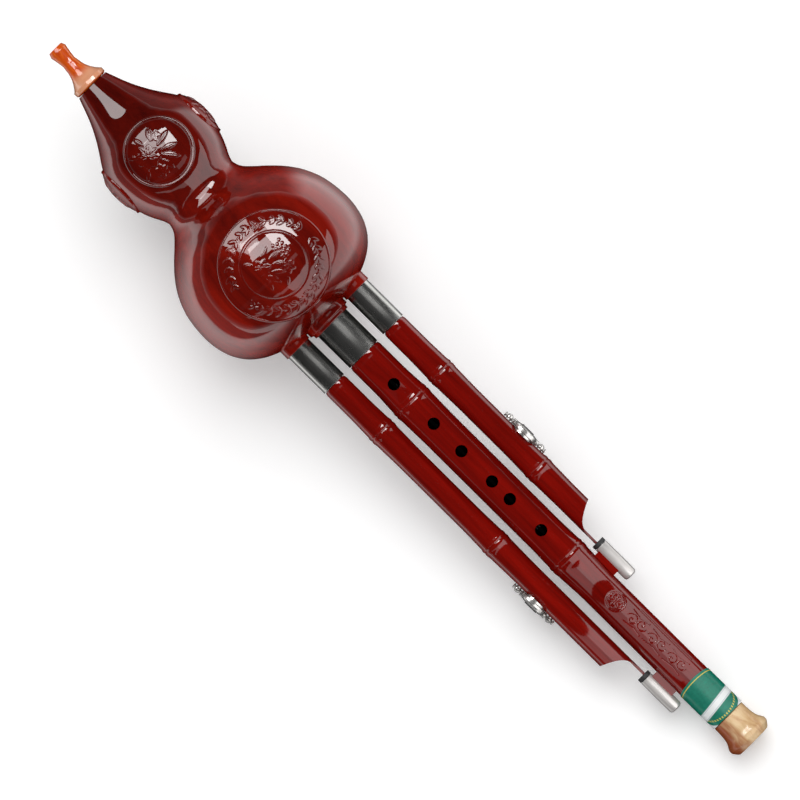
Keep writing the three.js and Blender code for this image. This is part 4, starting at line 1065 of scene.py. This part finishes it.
def drone_pipe(name):
    side, across = SIDES[name], drone_axis(name)
    node = f"{name}_drone_pipe"
    nib_end = span(node)[1][0]
    scoop_start = nib_end - NIB_IN_CUP - NIB_SHOWING - SCOOP_LENGTH
    line = pipe_outline(node, math.pi if side > 0 else 0.0, across, scoop_start, DRONE_NODE_SHARES[name],
                        np.arange(scoop_start - 0.001, nib_end, SCOOP_STEP))
    line = np.vstack((line, (nib_end, 0.0)))
    pipe = mesh_object(node + "_turned", moved(lathe(line, closed=False), (0, across, 0)))
    key_station = centre(f"{name}_key_pad")[0]
    key_hole = hole(key_station, across, (0, side, 0), KEY_HOLE_RADIUS, KEY_HOLE_REACH)
    cut(pipe, [*scoop_cutters(name, scoop_start, nib_end, line[-2][1]), key_hole])
    dress(pipe, f"{name}_drone", "pipe_lacquer", node)


# Keys


def outward(name, shape):
    """A shape made round a key's own line, which runs out from the drone through its tone hole."""
    return moved(shape, (centre(f"{name}_key_pad")[0], drone_axis(name), 0), (0, SIDES[name], 0))


def lid_top(name):
    low, high = span(f"{name}_key_lid")
    return max(abs(high[1] - drone_axis(name)), abs(low[1] - drone_axis(name)))


def key_lid(name):
    """The domed lid, with the knuckle that turns on the rod."""
    radius, top = span(f"{name}_key_lid")[1][2], lid_top(name)
    under, skirt, inner = top - LID.plate, top - LID.skirt, radius - LID.wall
    line = [(under, 0.0), (under, inner), (skirt, inner), (skirt, radius)]
    line += [(top - drop, share * radius) for drop, share in LID_DOME] + [(top, 0.0)]
    lid = outward(name, turned(curve_through(line, 4), KEY_ROUND, 72))
    station = centre(f"{name}_key_pad")[0]
    rod = centre(f"{name}_key_rod")
    knuckle = block(station - KNUCKLE.half, station + KNUCKLE.half, KNUCKLE.bore, KNUCKLE.radius)
    knuckle = moved(turned(knuckle, KEY_ROUND, 32, closed=True), (0, rod[1], rod[2]))
    obj = mesh_object(f"{name}_key_lid_domed", joined(lid, knuckle))
    dress(obj, f"{name}_key", "key_metal", f"{name}_key_lid")


def key_inlay(name):
    top = lid_top(name)
    line = block(top - INLAY.half, top + INLAY.half, 0.0, INLAY.radius)
    obj = mesh_object(f"{name}_key_inlay_disc", outward(name, turned(line, INLAY.round, 56)))
    dress(obj, f"{name}_key", "black_rubber", f"{name}_key_inlay")


def key_posts(name):
    """Two posts that lean out from the drone, each with a ball on the rod's line."""
    across = drone_axis(name)
    _, rod_across, rod_up = centre(f"{name}_key_rod")
    lean = Vector((0, rod_across - across, rod_up)).normalized()
    reach = math.hypot(rod_across - across, rod_up)
    ball = [(reach - BALL_RADIUS * math.cos(turn), BALL_RADIUS * math.sin(turn))
            for turn in np.linspace(0, math.pi, BALL_STEPS)]
    stem = [*POST_STEM, (reach, POST_STEM[-1][1]), (reach, 0.0)]
    shape = joined(lathe(ball, 40, closed=False), turned(stem, POST_ROUND, 40))
    for end in ("upper", "lower"):
        node = f"{name}_key_post_{end}"
        post = mesh_object(node + "_turned", moved(shape, (centre(node)[0], across, 0), lean))
        dress(post, f"{name}_drone", "key_metal", node)


def key_rod(name):
    """The rod between the posts, with a wider head at each end."""
    node = f"{name}_key_rod"
    start, end = (corner[0] for corner in span(node))
    inner_start, inner_end = start + ROD.head, end - ROD.head
    line = [(start, 0.0), (start, ROD.head_radius), (inner_start, ROD.head_radius),
            (inner_start, ROD.radius), (inner_end, ROD.radius), (inner_end, ROD.head_radius),
            (end, ROD.head_radius), (end, 0.0)]
    _, across, up = centre(node)
    rod = mesh_object(node + "_turned", moved(turned(line, KEY_ROUND, 40), (0, across, up)))
    dress(rod, f"{name}_drone", "key_metal", node)


def tone_hole_seat(name):
    node = f"{name}_tone_hole_seat"
    line = block(SEAT.bottom, SEAT.top, SEAT.bore, SEAT.radius)
    seat = mesh_object(node + "_turned", outward(name, turned(line, KEY_ROUND, 56, closed=True)))
    dress(seat, f"{name}_drone", "key_metal", node)


def label():
    """Paper round the melody pipe, from an edge that bows away at the back to the bell."""
    low, high = span("label_band")
    inner = high[2] - LABEL_WALL
    end = span("main_pipe")[1][0]
    stations = np.linspace(low[0], end, LABEL_STEPS)
    line = [(station, high[2]) for station in stations] + [(station, inner) for station in stations[::-1]]
    vertices, faces = lathe(line, LABEL_SIDES)
    turn = np.arctan2(vertices[:, 2], vertices[:, 1]) - FRONT_ANGLE
    share = (end - vertices[:, 0]) / (end - low[0])
    vertices[:, 0] += LABEL_BOW * (1 - np.cos(turn)) * share
    band = mesh_object("label_wrap", (vertices, faces))
    dress(band, "main_pipe", "label_paper", "label_band")


def carried_over_nodes():
    """Gives each node that still shows the finish of its slot, and a small bevel to the brackets."""
    finish_of = {part["node"]: part["material_slot"] for part in frame["record"]["subparts"]}
    for name, node in frame["nodes"].items():
        if node.hide_render:
            continue
        for slot in node.material_slots:
            slot.material = FINISHES[finish_of[name]]
        if name.endswith("_cup_bracket"):
            bevel = node.modifiers.new("edges", "BEVEL")
            bevel.width = BRACKET_BEVEL
            bevel.segments = 2


# Stage


def painted_floor_glow(nodes):
    """How brightly each place of the floor glows in polished surfaces, a painted reflection with painted
    shadow near the instrument.
    """
    x, y, _ = nodes.place()
    along = nodes.math("SUBTRACT", x, GLOW.apex)
    # Painted shadow: the floor glows less near the instrument.
    far = nodes.step(nodes.math("ABSOLUTE", y), *GLOW.near)
    far = nodes.math("MAXIMUM", far, nodes.step(y, *GLOW.near_right))
    far = nodes.math("MAXIMUM", far, nodes.step(nodes.math("ABSOLUTE", x), *GLOW.past_ends))
    facing = nodes.math("ADD", nodes.times(along, math.cos(GLOW.dark)),
                        nodes.times(y, math.sin(GLOW.dark)))
    lit = nodes.step(nodes.math("DIVIDE", facing, nodes.length(along, y)), *GLOW.wedge)
    shaded = nodes.times(nodes.step(y, *GLOW.left), nodes.step(x, *GLOW.left_end))
    lit = nodes.times(lit, nodes.math("SUBTRACT", 1.0, shaded))
    return nodes.times(far, nodes.spread(lit, GLOW.least, 1.0), GLOW.strength)


def floor():
    """White to the camera, dull to soft light, and its own glow to polished surfaces."""
    corners = [(-FLOOR_HALF, -FLOOR_HALF, 0), (FLOOR_HALF, -FLOOR_HALF, 0), (FLOOR_HALF, FLOOR_HALF, 0),
               (-FLOOR_HALF, FLOOR_HALF, 0)]
    mesh = bpy.data.meshes.new("floor")
    mesh.from_pydata(corners, [], [(0, 1, 2, 3)])
    made = bpy.data.materials.new("floor")
    made.use_nodes = True
    made.node_tree.nodes.clear()
    nodes = Nodes(made.node_tree)
    path = nodes.add("ShaderNodeLightPath").outputs
    dull = nodes.add("ShaderNodeBsdfDiffuse", {"Color": (0.6, 0.6, 0.6, 1)}).outputs[0]
    white = nodes.add("ShaderNodeBsdfDiffuse", {"Color": (0.95, 0.95, 0.95, 1)}).outputs[0]
    bright = nodes.add("ShaderNodeEmission", {"Color": (1, 1, 1, 1), "Strength": 0.15}).outputs[0]
    shine = nodes.add("ShaderNodeEmission", {"Color": (1, 1, 1, 1), "Strength": painted_floor_glow(nodes)}).outputs[0]
    shown = nodes.shaders("ShaderNodeAddShader", white, bright)
    either = nodes.shaders("ShaderNodeMixShader", dull, shown, path["Is Camera Ray"])
    either = nodes.shaders("ShaderNodeMixShader", either, shine, path["Is Glossy Ray"])
    nodes.add("ShaderNodeOutputMaterial", {"Surface": either})
    mesh.materials.append(made)
    new_object("floor", mesh)


def camera():
    data = bpy.data.cameras.new("camera")
    obj = new_object("camera", data)
    right = math.cos(AXIS_TURN) * ALONG + math.sin(AXIS_TURN) * ACROSS
    up = -math.sin(AXIS_TURN) * ALONG + math.cos(AXIS_TURN) * ACROSS
    target = PLACE @ Vector(PICTURE_MIDDLE)
    turn = Matrix((right, up, FRONT)).transposed().to_4x4()
    obj.matrix_world = Matrix.Translation(target + CAMERA_DISTANCE * FRONT) @ turn
    data.sensor_width = SENSOR * 1000
    data.lens = data.sensor_width * CAMERA_DISTANCE / (PICTURE_PIXELS * METRES_PER_PIXEL)
    data.clip_start = 0.01
    bpy.context.scene.camera = obj


def sky(name, azimuth, polar, strength, spread):
    """Soft light for matt surfaces alone, from an angle about the front axis and one away from it."""
    around, away = math.radians(azimuth), math.radians(polar)
    own = Vector((math.sin(away) * math.cos(around), math.sin(away) * math.sin(around), math.cos(away)))
    data = bpy.data.lights.new(name, "SUN")
    data.energy = strength
    data.angle = math.radians(spread)
    obj = new_object(name, data)
    obj.rotation_euler = (PLACE.to_3x3() @ own).to_track_quat("Z", "Y").to_euler()
    obj.visible_glossy = False


def panel(name, first, second, drop, radiance):
    """A flat light that hangs from the line between two points of the instrument's own axes."""
    first, second, drop = (Vector(place) for place in (first, second, drop))
    wide, high = (second - first).length, drop.length
    across = (second - first).normalized()
    up = -(drop - drop.dot(across) * across).normalized()
    facing = across.cross(up)
    middle_point = (first + second + drop) / 2
    if facing.dot(middle_point - Vector(PICTURE_MIDDLE)) < 0:
        across, facing = -across, -facing
    data = bpy.data.lights.new(name, "AREA")
    data.shape = "RECTANGLE"
    data.size, data.size_y = wide, high
    data.energy = radiance * math.pi * wide * high
    obj = new_object(name, data)
    turn = Matrix((across, up, facing)).transposed().to_4x4()
    obj.matrix_world = PLACE @ Matrix.Translation(middle_point) @ turn
    obj.visible_diffuse = False
    obj.visible_camera = False


def lights():
    """Two skies light the matt surfaces, and panels show in the polished ones."""
    sky("dome", 0, 0, 2.0, 170)
    sky("key", 140, 30, 1.3, 50)
    panel("window_high", (0.062, 0.1, 0.28), (0.101, 0.243, 0.28), (-0.2, 0.053, 0), 16)
    panel("window_low", (0.008, -0.103, 0.28), (0.062, 0.098, 0.28), (-0.14, 0.037, 0), 8)
    panel("neck_light", (-0.33, -0.2, 0.61), (-0.33, 0.11, 0.61), (0, 0, -0.4), 7)
    panel("tail_high", (0.3585, -0.05, 0.27), (0.3585, 1.2, 0.27), (1.1, 0, 0), 2.4)
    panel("tail_low", (0.3585, -0.7, 0.27), (0.3585, -0.05, 0.27), (0.05, 0, 0), 1.1)
    panel("ferrule_strip", (0.168, 0.01, 0.2), (0.195, 0.01, 0.2), (0, 0.13, 0), 0.85)
    panel("ferrule_fill", (0.168, -0.4, 0.2), (0.195, -0.4, 0.2), (0, 0.41, 0), 0.06)


def world():
    made = bpy.data.worlds.new("studio")
    made.use_nodes = True
    nodes = Nodes(made.node_tree)
    path = nodes.add("ShaderNodeLightPath").outputs
    direction = nodes.add("ShaderNodeTexCoord").outputs["Generated"]
    height = nodes.add("ShaderNodeSeparateXYZ", {"Vector": direction}).outputs["Z"]
    level = nodes.ramp(height, [(place, (brightness,) * 3) for place, brightness in SKY_LEVELS])
    colour = nodes.mix(path["Is Camera Ray"], level, (1, 1, 1))
    nodes.plug(made.node_tree.nodes["Background"].inputs["Color"], colour)
    bpy.context.scene.world = made


gourd()
turned_pieces()
melody_pipe()
for name in SIDES:
    drone_pipe(name)
    key_lid(name)
    key_inlay(name)
    key_posts(name)
    key_rod(name)
    tone_hole_seat(name)
label()
carried_over_nodes()
floor()
camera()
lights()
world()
bpy.context.scene.view_settings.view_transform = "Standard"
